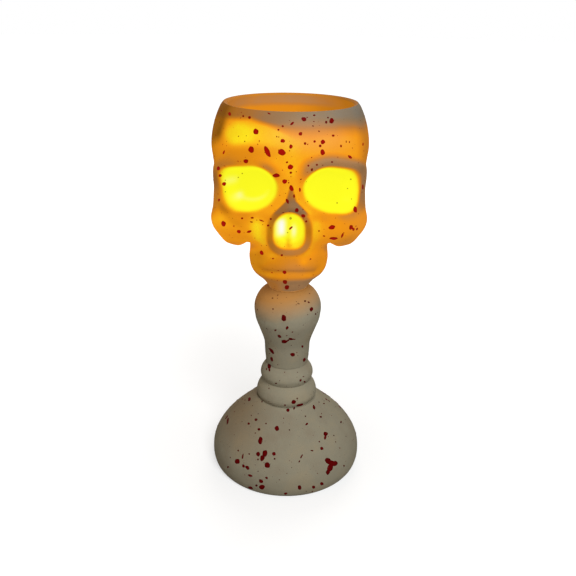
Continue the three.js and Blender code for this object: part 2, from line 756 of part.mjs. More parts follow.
// Switch knob: it slides in its slot, held up inside by its flange
function makeSwitchKnob() {
  const neck = block(switchWidth, switchLength, doorTop - plateFoot, plateFoot);
  const flange = block(switchWidth + 2 * switchFlange, switchLength, doorLugThickness, lugFoot);
  return joined(neck, flange).translate(switchOffset, switchTravel / 2, 0);
}
add('switch_knob', makeSwitchKnob(), blackPlastic);

export default holder;
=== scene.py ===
import bpy
import math
import random
from functools import partial
from types import SimpleNamespace
import numpy as np
from mathutils import Matrix, Vector
from mathutils.bvhtree import BVHTree


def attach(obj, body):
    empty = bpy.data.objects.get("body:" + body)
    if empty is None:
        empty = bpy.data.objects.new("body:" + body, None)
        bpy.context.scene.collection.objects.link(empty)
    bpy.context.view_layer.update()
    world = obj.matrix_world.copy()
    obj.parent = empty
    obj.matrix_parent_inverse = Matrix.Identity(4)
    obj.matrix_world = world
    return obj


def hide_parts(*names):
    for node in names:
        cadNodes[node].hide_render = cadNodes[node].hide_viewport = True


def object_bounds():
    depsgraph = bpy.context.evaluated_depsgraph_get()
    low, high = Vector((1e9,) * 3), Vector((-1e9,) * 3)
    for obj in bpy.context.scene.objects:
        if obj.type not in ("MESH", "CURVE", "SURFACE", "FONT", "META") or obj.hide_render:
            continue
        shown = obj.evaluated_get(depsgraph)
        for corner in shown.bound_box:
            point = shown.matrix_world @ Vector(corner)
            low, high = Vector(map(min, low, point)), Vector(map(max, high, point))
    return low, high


# Skull candle holder: a painted glass skull lit from inside, on a turned pedestal, with a flameless tealight
# in its jaw. Sizes in the dictionaries are millimetres, and every mesh is made in metres.

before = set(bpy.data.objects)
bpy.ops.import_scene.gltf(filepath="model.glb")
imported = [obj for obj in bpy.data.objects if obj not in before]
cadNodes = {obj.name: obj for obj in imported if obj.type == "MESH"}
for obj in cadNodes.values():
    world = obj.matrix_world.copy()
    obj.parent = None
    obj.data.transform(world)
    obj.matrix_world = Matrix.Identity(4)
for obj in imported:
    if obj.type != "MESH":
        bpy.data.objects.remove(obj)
cadLow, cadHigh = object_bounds()
mm = 0.001


def linear(code):
    # sRGB hex to the linear colour that a socket takes
    parts = [int(code[i:i + 2], 16) / 255 for i in (1, 3, 5)]
    return [p / 12.92 if p <= 0.04045 else ((p + 0.055) / 1.055) ** 2.4 for p in parts] + [1.0]


def addNode(tree, kind, inputs=(), output=0, stops=(), **settings):
    # One node with its settings and links. An input takes a value or another node's output, a colour ramp
    # takes its stops, and the named output comes back, or the node itself where output is None.
    node = tree.nodes.new(kind if "Node" in kind else "ShaderNode" + kind)
    for name, value in settings.items():
        setattr(node, name, value)
    for key, value in inputs.items() if isinstance(inputs, dict) else enumerate(inputs):
        if isinstance(value, bpy.types.NodeSocket):
            tree.links.new(value, node.inputs[key])
        else:
            node.inputs[key].default_value = value
    if stops:
        elements = node.color_ramp.elements
        while len(elements) < len(stops):
            elements.new(0.5)
        for element, (position, code) in zip(elements, stops):
            element.position, element.color = position, linear(code)
    return node if output is None else node.outputs[output]


def smooth(value):
    t = np.clip(value, 0, 1)
    return t * t * (3 - 2 * t)


def rise(value, start, width):
    # 0 up to the start and 1 one width further on; a negative width rises towards smaller values
    return smooth((value - start) / width)


def bump(distance, width):
    return np.exp(-(distance / width) ** 2)


def blend(a, b, share):
    return a + (b - a) * share


def finishedPiece(name, mesh, finish, sharpDegrees):
    # a mesh with its finish and its shading, as an object in the scene
    mesh.materials.clear()
    mesh.materials.append(finish)
    mesh.shade_smooth()
    mesh.set_sharp_from_angle(angle=math.radians(sharpDegrees))
    piece = bpy.data.objects.new(name, mesh)
    bpy.context.collection.objects.link(piece)
    return piece


def meshPiece(name, points, faces, finish, sharpDegrees=40):
    mesh = bpy.data.meshes.new(name)
    mesh.from_pydata([tuple(p) for p in points], [], [tuple(f) for f in faces])
    mesh.update()
    return finishedPiece(name, mesh, finish, sharpDegrees)


def setAttribute(mesh, name, values):
    layer = mesh.attributes.new(name, "FLOAT", "POINT")
    layer.data.foreach_set("value", np.asarray(values, dtype=np.float32))


def readAttribute(mesh, name):
    values = np.empty(len(mesh.vertices))
    mesh.attributes[name].data.foreach_get("value", values)
    return values


# Camera: the photograph's angle, from a little above the rim, for a square picture
cameraPlace = {
    "back": 391.4, "height": 283.85, "azimuth": -0.8, "down": 22.77, "roll": 0.87, "focalPixels": 700,
    "picture": 576, "sensor": 36,
}


def makeCamera():
    turn, down, roll = (math.radians(cameraPlace[name]) for name in ("azimuth", "down", "roll"))
    place = Vector((math.sin(turn) * cameraPlace["back"], -math.cos(turn) * cameraPlace["back"],
                    cameraPlace["height"])) * mm
    ahead = Vector((-math.sin(turn) * math.cos(down), math.cos(turn) * math.cos(down), -math.sin(down)))
    right = ahead.cross(Vector((0, 0, 1))).normalized()
    up = right.cross(ahead)
    tiltedUp = up * math.cos(roll) - right * math.sin(roll)
    tiltedRight = ahead.cross(tiltedUp)
    data = bpy.data.cameras.new("camera")
    data.sensor_width = cameraPlace["sensor"]
    data.lens = cameraPlace["focalPixels"] * cameraPlace["sensor"] / cameraPlace["picture"]
    data.clip_start, data.clip_end = 0.01, 50
    camera = bpy.data.objects.new("camera", data)
    bpy.context.collection.objects.link(camera)
    facing = Matrix((tiltedRight, tiltedUp, -ahead)).transposed()
    camera.matrix_world = Matrix.Translation(place) @ facing.to_4x4()
    bpy.context.scene.camera = camera
    return place, tiltedRight, tiltedUp, ahead


def pixelRay(view, across, down):
    # direction of the sight line through a pixel of the picture
    right, up, ahead = view[1:]
    focal, middle = cameraPlace["focalPixels"], cameraPlace["picture"] / 2
    return (right * ((across - middle) / focal) + up * ((middle - down) / focal) + ahead).normalized()


view = makeCamera()
print("camera placed")

# Light: a soft key from the front right, a weak fill, a lamp from behind and a pale room
lamps = {
    "key": {"place": (250, -780, 850), "size": 600, "power": 11.6, "colour": "#f4f7fb"},
    "fill": {"place": (-850, -450, 420), "size": 700, "power": 0.7, "colour": "#ffdcb4"},
    "back": {"place": (150, 900, 700), "size": 700, "power": 4.0, "colour": "#fffdf8"},
}
lampsAim = (0, 0, 110)
room = {"strength": 0.2, "colour": "#f1f0ec"}
whiteLight = (1, 1, 1, 1)
laminateFloor = {
    "colour": "#aaa9a7", "radius": 5000, "sides": 64, "shadeFrom": 50, "shadeTo": 400, "nearLight": 0.62,
}


def makeLights():
    for name, lamp in lamps.items():
        data = bpy.data.lights.new(name + "Lamp", "AREA")
        data.shape = "DISK"
        data.size = lamp["size"] * mm
        data.energy = lamp["power"]
        data.color = linear(lamp["colour"])[:3]
        light = bpy.data.objects.new(name + "Lamp", data)
        light.location = Vector(lamp["place"]) * mm
        light.visible_camera = False
        light.rotation_euler = (light.location - Vector(lampsAim) * mm).to_track_quat("Z", "Y").to_euler()
        bpy.context.collection.objects.link(light)
    world = bpy.data.worlds.new("paleRoom")
    bpy.context.scene.world = world
    world.use_nodes = True
    world.node_tree.nodes.clear()
    add = partial(addNode, world.node_tree)
    rays = add("LightPath", output=None).outputs
    seen = add("Math", (rays["Is Camera Ray"], rays["Is Glossy Ray"]), operation="MAXIMUM")
    seen = add("Math", (seen, rays["Is Transmission Ray"]), operation="MAXIMUM")
    dim = add("Background", {"Color": linear(room["colour"]), "Strength": room["strength"]})
    white = add("Background", {"Color": whiteLight, "Strength": 1.0})
    mixed = add("MixShader", (seen, dim, white))
    add("OutputWorld", (mixed,), None)


def makeMaterial(name, look, *values):
    # a material whose shader inputs come from a look, worked out on its tree from the place on the object
    material = bpy.data.materials.new(name)
    material.use_nodes = True
    material.node_tree.nodes.clear()
    add = partial(addNode, material.node_tree)
    shader = add("BsdfPrincipled", look(add, add("TexCoord", output="Object"), *values))
    add("OutputMaterial", (shader,), None)
    return material


def laminateLook(add, place):
    # matt pale laminate that the camera sees as paper white, with the object's soft shadow kept
    reach = add("VectorMath", (place,), "Value", operation="LENGTH")
    near, far = (laminateFloor[name] * mm for name in ("shadeFrom", "shadeTo"))
    away = add("MapRange", (reach, near, far, laminateFloor["nearLight"], 1.0))
    seen = add("LightPath", output="Is Camera Ray")
    lift = add("Math", (seen, away), operation="MULTIPLY")
    return {
        "Base Color": linear(laminateFloor["colour"]), "Roughness": 0.9, "Specular IOR Level": 0.1,
        "Emission Color": whiteLight, "Emission Strength": lift,
    }


def makeFloor():
    sides, radius = laminateFloor["sides"], laminateFloor["radius"] * mm
    angles = [2 * math.pi * side / sides for side in range(sides)]
    points = [(radius * math.cos(angle), radius * math.sin(angle), 0) for angle in angles]
    floor = meshPiece("floor", points, [list(range(sides))], makeMaterial("mattPaleLaminate", laminateLook))


makeLights()
makeFloor()
bpy.context.scene.view_settings.view_transform = "Standard"
print("lights and floor made")

# Materials


def patches(size):
    # texture scale for patches of about this many millimetres
    return 1 / (size * mm)


litSkull = {
    "glow": [
        (0.0, "#8a8070"), (0.15, "#987c5c"), (0.30, "#ac7e52"), (0.45, "#c47e36"), (0.60, "#de8a24"),
        (0.75, "#f39616"), (0.85, "#faa618"), (0.93, "#fcc31a"), (1.0, "#fde21e"),
    ],
    # painted light: the eyes' colour is the light from inside seen through bare glass; the other two colour
    # the painted highlights and the painted lamp light on the forehead
    "eyes": "#fefc22", "hotSpot": "#fffdf4", "haze": "#f0b690",
    "litShare": 0.75,  # how much of the colour is light from inside where the skull glows fully
    "eyeShare": 0.9, "liningShare": 0.9,  # the same in the eyes and inside the cup
    "mottle": 0.03, "mottleSize": 9,
    "sand": 0.45, "sandMottle": 0.03,  # grain of the sprayed paint
}


def frostedGlassLook(add, place):
    # Frosted glass, sprayed with thin bone paint: matt with a fine grain, amber where the light behind it
    # comes through, greige where it doesn't, and bare and glossy in the eyes and the nose. That light from
    # inside is painted on as emission and a shade factor.
    glow, shade, bare, hot, outside, haze = (
        add("Attribute", output="Fac", attribute_name=name)
        for name in ("glow", "shade", "bare", "hot", "outside", "haze"))
    mottle, sandMottle = litSkull["mottle"], litSkull["sandMottle"]
    cloud = add("TexNoise", {"Vector": place, "Scale": patches(litSkull["mottleSize"]), "Detail": 3})
    cloud = add("MapRange", (cloud, 0.25, 0.75, -mottle, mottle))
    sanded = {"Vector": place, "Scale": patches(litSkull["sand"]), "Detail": 2, "Roughness": 0.7}
    sand = add("MapRange", (add("TexNoise", sanded), 0.2, 0.8, -sandMottle, sandMottle))
    level = add("Math", (glow, cloud), operation="ADD")
    level = add("Math", (level, sand), operation="ADD", use_clamp=True)
    colour = add("ValToRGB", (level,), stops=litSkull["glow"])
    colour = add("Mix", {0: haze, 6: colour, 7: linear(litSkull["haze"])}, 2, data_type="RGBA")
    colour = add("VectorMath", {0: colour, "Scale": shade}, operation="SCALE")
    colour = add("Mix", {0: bare, 6: colour, 7: linear(litSkull["eyes"])}, 2, data_type="RGBA")
    colour = add("Mix", {0: hot, 6: colour, 7: linear(litSkull["hotSpot"])}, 2, data_type="RGBA")
    share = add("MapRange", (level, 0.05, 0.38, 0.05, litSkull["litShare"]))
    share = add("Mix", {0: outside, 2: litSkull["liningShare"], 3: share})
    share = add("Mix", {0: bare, 2: share, 3: litSkull["eyeShare"]})
    rest = add("Math", (1.0, share), operation="SUBTRACT")
    paint = add("VectorMath", {0: colour, "Scale": rest}, operation="SCALE")
    sprayed = add("Math", (1.0, bare), operation="SUBTRACT")
    grain = add("TexNoise", {**sanded, "Detail": 3})
    grain = add("Math", (grain, sprayed), operation="MULTIPLY")
    return {
        "Base Color": paint, "IOR": 1.2,
        "Roughness": add("MapRange", (bare, 0, 1, 0.62, 0.34)),
        "Specular IOR Level": add("MapRange", (bare, 0, 1, 0.05, 0.1)),
        "Emission Color": colour, "Emission Strength": share,
        "Normal": add("Bump", {"Height": grain, "Distance": 0.09 * mm, "Strength": 0.6}),
    }


chalkPaint = {
    "cool": "#89826e", "warm": "#90856d", "worn": "#857b67", "cloud": 16, "sand": 0.5,
    "tint": "#a87840",  # amber light that falls from the jaw onto the top of the stem
    "tintHeights": (106, 119), "litHeights": (86, 106), "tintLight": 0.16,
    "tintLean": -0.2,  # lower on the left
    # the same light on the left shoulder of the base, from the axis outwards and below the collar
    "shoulder": "#7d5f3a", "shoulderShare": 0.55,
    "shoulderHeights": (16, 38), "shoulderAcross": (-8, -34), "shoulderTop": (46, 50),
    "collarPale": 1.09,  # painted light: the collar is lit a little brighter than base and stem
    "collarFoot": (43, 47), "collarHead": (66, 76),
}


def chalkPaintLook(add, place):
    # Chalk paint sprayed over cast resin: dead matt, a fine sandy grain, and faint warmer and cooler clouds
    paint = chalkPaint
    axes = add("SeparateXYZ", (place,), None).outputs

    def along(value, span, start, end):
        low, high = paint[span]
        return add("MapRange", (value, low * mm, high * mm, start, end))

    lean = add("Math", (axes["X"], paint["tintLean"]), operation="MULTIPLY")
    height = add("Math", (axes["Z"], lean), operation="ADD")
    clouds = add("TexNoise", {
        "Vector": place, "Scale": patches(paint["cloud"]), "Detail": 4, "Roughness": 0.55})
    clouds = add("ValToRGB", (clouds,), stops=[
        (0.3, paint["worn"]), (0.5, paint["cool"]), (0.72, paint["warm"])])
    sand = add("TexNoise", {
        "Vector": place, "Scale": patches(paint["sand"]), "Detail": 3, "Roughness": 0.7})
    speckle = add("MapRange", (sand, 0.25, 0.75, 0.93, 1.07))
    # painted light: the collar lit a little brighter than base and stem
    pale = add("Math", (
        along(axes["Z"], "collarFoot", 1.0, paint["collarPale"]),
        along(axes["Z"], "collarHead", 1.0, 1 / paint["collarPale"])), operation="MULTIPLY")
    speckle = add("Math", (speckle, pale), operation="MULTIPLY")
    grained = add("VectorMath", {0: clouds, "Scale": speckle}, operation="SCALE")
    # painted light: amber light from the skull on the left shoulder of the base
    onShoulder = add("Math", (
        along(axes["Z"], "shoulderHeights", 0.0, paint["shoulderShare"]),
        along(axes["X"], "shoulderAcross", 0.0, 1.0)), operation="MULTIPLY")
    onShoulder = add("Math", (
        onShoulder, along(axes["Z"], "shoulderTop", 1.0, 0.0)), operation="MULTIPLY")
    washed = add("Mix", {0: onShoulder, 6: grained, 7: linear(paint["shoulder"])}, 2, data_type="RGBA")
    # painted light: amber light from the jaw on the top of the stem, which glows a little there too
    tinted = add("Mix", {
        0: along(height, "tintHeights", 0.0, 1.0), 6: washed, 7: linear(paint["tint"])}, 2, data_type="RGBA")
    return {
        "Base Color": tinted, "IOR": 1.3, "Specular IOR Level": 0.1,
        "Roughness": add("MapRange", (sand, 0.2, 0.8, 0.82, 0.95)),
        "Emission Color": tinted, "Emission Strength": along(height, "litHeights", 0.0, paint["tintLight"]),
        "Normal": add("Bump", {"Height": sand, "Distance": 0.12 * mm, "Strength": 0.7}),
    }


redPaint = {
    "deep": "#360303", "full": "#5a0505", "litDeep": "#7a0c00", "litFull": "#b01408",
    "seenThrough": "#c9c41e",
}


def redEnamelLook(add, place):
    # Gloss enamel flicked from a brush: deep red drops, darker where they are thin and dry, a faint shine,
    # and blood red where the glass under them glows
    tone, veil, behind = (
        add("Attribute", output="Fac", attribute_name=name) for name in ("tone", "veil", "behind"))
    cloud = add("TexNoise", {"Vector": place, "Scale": patches(1.6)})
    cloud = add("MapRange", (cloud, 0.3, 0.7, -0.18, 0.18))
    depth = add("Math", (tone, cloud), operation="ADD", use_clamp=True)
    plain = add("ValToRGB", (depth,), stops=[(0.0, redPaint["deep"]), (1.0, redPaint["full"])])
    lit = add("ValToRGB", (depth,), stops=[(0.0, redPaint["litDeep"]), (1.0, redPaint["litFull"])])
    through = add("Mix", {0: veil, 6: lit, 7: linear(redPaint["seenThrough"])}, 2, data_type="RGBA")
    share = add("MapRange", (behind, 0.3, 0.84, 0.0, 0.85))
    rest = add("Math", (1.0, share), operation="SUBTRACT")
    brushed = add("TexNoise", {"Vector": place, "Scale": patches(0.7)})
    return {
        "Base Color": add("VectorMath", {0: plain, "Scale": rest}, operation="SCALE"),
        "Roughness": 0.42, "IOR": 1.25, "Specular IOR Level": 0.04,
        "Emission Color": through, "Emission Strength": share,
        "Normal": add("Bump", {"Height": brushed, "Distance": 0.03 * mm, "Strength": 0.5}),
    }


def platedSteelLook(add, place, bright, dull, roughness, streak, pitch=0):
    # plated steel: a cool bright metal, clouded by handling, with fine turning marks or a rolled thread
    cloud = add("TexNoise", {"Vector": place, "Scale": patches(2.5), "Detail": 3})
    if pitch:
        # height of the flank over one pitch, wound with the angle into a right-hand helix
        axes = add("SeparateXYZ", (place,), None).outputs
        turn = add("Math", (axes["Y"], axes["X"]), operation="ARCTAN2")
        rise = add("Math", (turn, pitch * mm / (2 * math.pi)), operation="MULTIPLY")
        along = add("Math", (axes["Z"], rise), operation="SUBTRACT")
        marks = add("Math", (along, pitch * mm / 2), operation="PINGPONG")
        marks = add("MapRange", (marks, 0, pitch * mm / 2, 0, 1))
        depth, strength = 0.61 * pitch, 1.0
    else:
        marks = add("TexWave", {
            "Vector": place, "Scale": patches(streak), "Distortion": 1.5, "Detail": 2.0,
        }, "Fac", wave_type="RINGS", rings_direction="Z")
        depth, strength = 0.01, 0.4
    return {
        "Base Color": add("ValToRGB", (cloud,), stops=[(0.3, dull), (0.7, bright)]), "Metallic": 1.0,
        "Roughness": add("MapRange", (cloud, 0.3, 0.7, roughness + 0.12, roughness)),
        "Normal": add("Bump", {"Height": marks, "Distance": depth * mm, "Strength": strength}),
    }


def rubberLook(add, place):
    # moulded nitrile rubber: matt black-grey with a dusty bloom
    bloom = add("TexNoise", {"Vector": place, "Scale": patches(1.2), "Detail": 3})
    grain = add("TexNoise", {"Vector": place, "Scale": patches(0.4)})
    return {
        "Base Color": add("ValToRGB", (bloom,), stops=[(0.35, "#232221"), (0.7, "#35332f")]),
        "Roughness": add("MapRange", (bloom, 0.3, 0.7, 0.78, 0.92)),
        "Normal": add("Bump", {"Height": grain, "Distance": 0.03 * mm}),
    }


def siliconeLook(add, place):
    # translucent silicone bead, amber from the lit jaw above it
    bloom = add("TexNoise", {"Vector": place, "Scale": patches(1.5)})
    colour = add("ValToRGB", (bloom,), stops=[(0.35, "#97662f"), (0.7, "#a5733a")])
    return {
        "Base Color": colour, "Roughness": 0.5, "Specular IOR Level": 0.2, "Subsurface Weight": 0.1,
        "Subsurface Radius": (0.002, 0.001, 0.0005), "Emission Color": colour, "Emission Strength": 0.45,
    }


def feltLook(add, place):
    # pressed wool felt: dark, fuzzy, with matted fibres about half a millimetre apart
    stretched = add("Mapping", {"Vector": place, "Scale": (1.0, 1.0, 0.35)})
    fibres = add("TexNoise", {
        "Vector": stretched, "Scale": patches(0.5), "Detail": 6, "Roughness": 0.75})
    return {
        "Base Color": add("ValToRGB", (fibres,), stops=[
            (0.3, "#1f1d1b"), (0.55, "#35312d"), (0.8, "#4b4640")]),
        "Roughness": 0.97, "Sheen Weight": 0.4, "Sheen Roughness": 0.6,
        "Normal": add("Bump", {"Height": fibres, "Distance": 0.25 * mm}),
    }


def plasticLook(add, place, light, dark, roughness, grit, subsurface=0.0):
    # moulded plastic: an even colour with a fine spark-eroded grain
    cloud = add("TexNoise", {"Vector": place, "Scale": patches(7)})
    grain = add("TexNoise", {"Vector": place, "Scale": patches(grit)})
    return {
        "Base Color": add("ValToRGB", (cloud,), stops=[(0.3, dark), (0.7, light)]), "IOR": 1.49,
        "Roughness": add("MapRange", (cloud, 0.3, 0.7, roughness, roughness + 0.08)),
        "Subsurface Weight": subsurface, "Subsurface Radius": (0.004, 0.003, 0.002), "Subsurface Scale": 0.5,
        "Normal": add("Bump", {"Height": grain, "Distance": 0.02 * mm, "Strength": 0.6}),
    }


waxTones = {"pale": "#f3ead2", "dark": "#e6dabb", "warm": "#ffc56a", "light": "#ffae3c", "warmReach": (4, 18)}


def waxLook(add, place):
    # polypropylene moulded to look like wax: ivory and satin, with painted light from the flame tip, warm and
    # glowing in its middle
    near, far = waxTones["warmReach"]
    flat = add("VectorMath", (place, (1, 1, 0)), operation="MULTIPLY")
    reach = add("VectorMath", (flat,), "Value", operation="LENGTH")
    warmth = add("MapRange", (reach, near * mm, far * mm, 1.0, 0.0))
    ivory = add("TexNoise", {"Vector": place, "Scale": patches(5), "Detail": 3})
    ivory = add("ValToRGB", (ivory,), stops=[(0.3, waxTones["dark"]), (0.7, waxTones["pale"])])
    grain = add("TexNoise", {"Vector": place, "Scale": patches(1.1)})
    return {
        "Base Color": add("Mix", {0: warmth, 6: ivory, 7: linear(waxTones["warm"])}, 2, data_type="RGBA"),
        "Roughness": 0.5, "IOR": 1.49, "Emission Color": linear(waxTones["light"]),
        "Emission Strength": add("MapRange", (warmth, 0, 1, 0.12, 0.5)),
        "Normal": add("Bump", {"Height": grain, "Distance": 0.03 * mm, "Strength": 0.6}),
    }


milkyFlame = {
    "body": "#ffd58a", "lit": [(0.0, "#ffe9a0"), (0.45, "#ffd873"), (1.0, "#ffae3a")],
    "heights": (151.5, 169),
}


def flameLook(add, place):
    # milky moulded acrylic round the diode: brightest low down, deeper amber at its point
    low, high = milkyFlame["heights"]
    height = add("SeparateXYZ", (place,), "Z")
    up = add("MapRange", (height, low * mm, high * mm, 0.0, 1.0))
    cloud = add("TexNoise", {"Vector": place, "Scale": patches(3)})
    cloud = add("MapRange", (cloud, 0.3, 0.7, -0.08, 0.08))
    up = add("Math", (up, cloud), operation="ADD", use_clamp=True)
    return {
        "Base Color": linear(milkyFlame["body"]), "Roughness": 0.3, "IOR": 1.49,
        "Emission Color": add("ValToRGB", (up,), stops=milkyFlame["lit"]),
        "Emission Strength": add("MapRange", (up, 0, 1, 1.6, 0.9)),
    }


skullFinish = makeMaterial("frostedPaintedGlass", frostedGlassLook)
pedestalFinish = makeMaterial("chalkPaintOnResin", chalkPaintLook)
redFinish = makeMaterial("redEnamelPaint", redEnamelLook)
steelFinish = makeMaterial("zincPlatedSteel", platedSteelLook, "#c3c6c9", "#a3a6a8", 0.26, 0.35)
threadFinish = makeMaterial("zincPlatedThread", platedSteelLook, "#c3c6c9", "#a3a6a8", 0.26, 0.35, 1.0)
nickelFinish = makeMaterial("nickelPlatedSteel", platedSteelLook, "#d0cdc3", "#b3afa3", 0.18, 0.3)
rubberFinish = makeMaterial("mouldedRubber", rubberLook)
siliconeFinish = makeMaterial("translucentSilicone", siliconeLook)
feltFinish = makeMaterial("pressedFelt", feltLook)
ivoryFinish = makeMaterial("ivoryPolypropylene", plasticLook, "#efe6cf", "#e4d9bd", 0.5, 0.5, 0.15)
waxFinish = makeMaterial("waxLookPolypropylene", waxLook)
flameFinish = makeMaterial("milkyAcrylicFlame", flameLook)
epoxyFinish = makeMaterial("castEpoxy", plasticLook, "#f6f2e6", "#ece6d4", 0.1, 2.0, 0.3)
blackFinish = makeMaterial("blackAbs", plasticLook, "#262626", "#1d1d1d", 0.5, 0.4)
print("materials made")

# Turned pieces: one node tree turns an outline about the Z axis


def startTree(name, inputs, output):
    # an empty modifier tree with its named inputs and its one output
    tree = bpy.data.node_groups.new(name, "GeometryNodeTree")
    tree.is_modifier = True
    for label, kind in inputs:
        tree.interface.new_socket(label, in_out="INPUT", socket_type="NodeSocket" + kind)
    tree.interface.new_socket(output, in_out="OUTPUT", socket_type="NodeSocketGeometry")
    add = partial(addNode, tree)
    return tree, add, add("NodeGroupInput", output=None).outputs


def makeTurningTree():
    tree, add, given = startTree("turnOutline", (
        ("Outline", "Geometry"), ("Sides", "Int"), ("Weld distance", "Float"), ("Finish", "Material"),
    ), "Piece")
    count = add("GeometryNodeAttributeDomainSize", (given["Outline"],), component="CURVE")
    columns = add("Math", (given["Sides"], 1.0), operation="ADD")
    grid = add("GeometryNodeMeshGrid", {
        "Size X": 1.0, "Size Y": 1.0, "Vertices X": columns, "Vertices Y": count}, "Mesh")
    index = add("GeometryNodeInputIndex")
    row = add("Math", (index, count), operation="MODULO")
    turns = add("Math", (index, count), operation="DIVIDE")
    column = add("Math", (turns,), operation="FLOOR")
    share = add("Math", (column, given["Sides"]), operation="DIVIDE")
    angle = add("Math", (share, 2 * math.pi), operation="MULTIPLY")
    outline = add("GeometryNodeSampleIndex", {
        "Geometry": given["Outline"], "Value": add("GeometryNodeInputPosition"), "Index": row,
    }, "Value", data_type="FLOAT_VECTOR", domain="POINT")
    split = add("SeparateXYZ", (outline,), None).outputs
    across, along = (
        add("Math", (split["X"], add("Math", (angle,), operation=part)), operation="MULTIPLY")
        for part in ("COSINE", "SINE"))
    turned = add("CombineXYZ", (across, along, split["Z"]))
    body = add("GeometryNodeSetPosition", {"Geometry": grid, "Position": turned})
    welded = add("GeometryNodeMergeByDistance", {"Geometry": body, "Distance": given["Weld distance"]})
    real = add("GeometryNodeRealizeInstances", (welded,))
    coated = add("GeometryNodeSetMaterial", {"Geometry": real, "Material": given["Finish"]})
    add("NodeGroupOutput", {"Piece": coated}, None)
    return tree


turningTree = makeTurningTree()


def plainMesh(carrier, name, tree, settings, sharpDegrees):
    # runs a node tree on a carrier and takes the evaluated result as a plain mesh object
    modifier = carrier.modifiers.new(tree.name, "NODES")
    modifier.node_group = tree
    for item in tree.interface.items_tree:
        if item.in_out == "INPUT" and item.name in settings:
            modifier[item.identifier] = settings[item.name]
    bpy.context.view_layer.update()
    evaluated = carrier.evaluated_get(bpy.context.evaluated_depsgraph_get())
    mesh = bpy.data.meshes.new_from_object(evaluated)
    mesh.name = name
    carrier.modifiers.clear()
    bpy.data.objects.remove(carrier)
    return finishedPiece(name, mesh, settings["Finish"], sharpDegrees)


turning = {"sides": 144, "sharpDegrees": 38, "weld": 0.002}


def turnPiece(name, outline, finish, sides=turning["sides"]):
    # outline: (radius, height) in millimetres, up the outside; it ends where it starts or on the axis
    data = bpy.data.curves.new(name + "Outline", "CURVE")
    data.dimensions = "3D"
    spline = data.splines.new("POLY")
    spline.points.add(len(outline) - 1)
    for point, (radius, height) in zip(spline.points, outline):
        point.co = (radius * mm, 0, height * mm, 1)
    carrier = bpy.data.objects.new(name + "Outline", data)
    bpy.context.collection.objects.link(carrier)
    settings = {"Sides": sides, "Weld distance": turning["weld"] * mm, "Finish": finish}
    return plainMesh(carrier, name, turningTree, settings, turning["sharpDegrees"])


def smoothRun(shares, place, steps):
    # smooth run through a few (height share, reach share) pairs
    points = np.array([place(up, out) for up, out in shares], dtype=float)
    last = len(points) - 1
    run = []
    for step in range(steps + 1):
        at = step / steps * last
        i = min(int(at), last - 1)
        t = at - i
        p0, p1, p2, p3 = (points[min(max(k, 0), last)] for k in (i - 1, i, i + 1, i + 2))
        v0, v1 = (p2 - p0) / 2, (p3 - p1) / 2
        cubic, square = 2 * p1 - 2 * p2 + v0 + v1, -3 * p1 + 3 * p2 - 2 * v0 - v1
        run.append(cubic * t ** 3 + square * t ** 2 + v0 * t + p1)
    return [tuple(p) for p in run]


pedestal = {
    "baseFoot": 0.6, "baseTop": 46.2, "baseRadius": 47.6, "wall": 4.0, "bossRadius": 9.0, "bossFace": 13.0,
    "padThickness": 1.6, "padRadius": 40.0,
    "collarFoot": 46.4, "collarTop": 70.7, "collarRadius": 19.2,
    "stemFoot": 70.9, "stemTop": 121.4, "stemRadius": 20.4,
    "spigotRadius": 7.6, "spigotLength": 3.6, "cupSpigot": 4.4, "rodHole": 3.3, "gap": 0.2, "fit": 0.3,
    "padEdge": 0.3, "baseSides": 192, "domeSteps": 96, "hollowSteps": 40, "beadSteps": 34, "bulbSteps": 110,
    "domeShares": [(0, 0.93), (0.045, 0.972), (0.15, 1), (0.307, 0.972), (0.467, 0.852), (0.627, 0.652),
                   (0.787, 0.389), (0.947, 0.1), (1, 0)],
    "hollowShares": [(0.03, 0.88), (0.15, 0.96), (0.31, 0.95), (0.46, 0.87), (0.61, 0.73), (0.755, 0.52),
                     (0.82, 0.3)],
    "lowerBead": [(0, 0.94), (0.086, 0.985), (0.17, 0.99), (0.313, 0.937), (0.436, 0.837), (0.502, 0.787)],
    "upperBead": [(0.502, 0.787), (0.58, 0.835), (0.68, 0.862), (0.8, 0.824), (0.91, 0.73), (1, 0.65)],
    "bulb": [(0, 0.647), (0.14, 0.676), (0.285, 0.702), (0.43, 0.816), (0.575, 0.947), (0.65, 0.982),
             (0.72, 1), (0.79, 0.984), (0.865, 0.918), (0.94, 0.79), (1, 0.58)],
}
seatBead = {"gap": 0.03, "inset": 0.08, "edge": 0.3, "bulge": 0.05, "rise": 0.25}


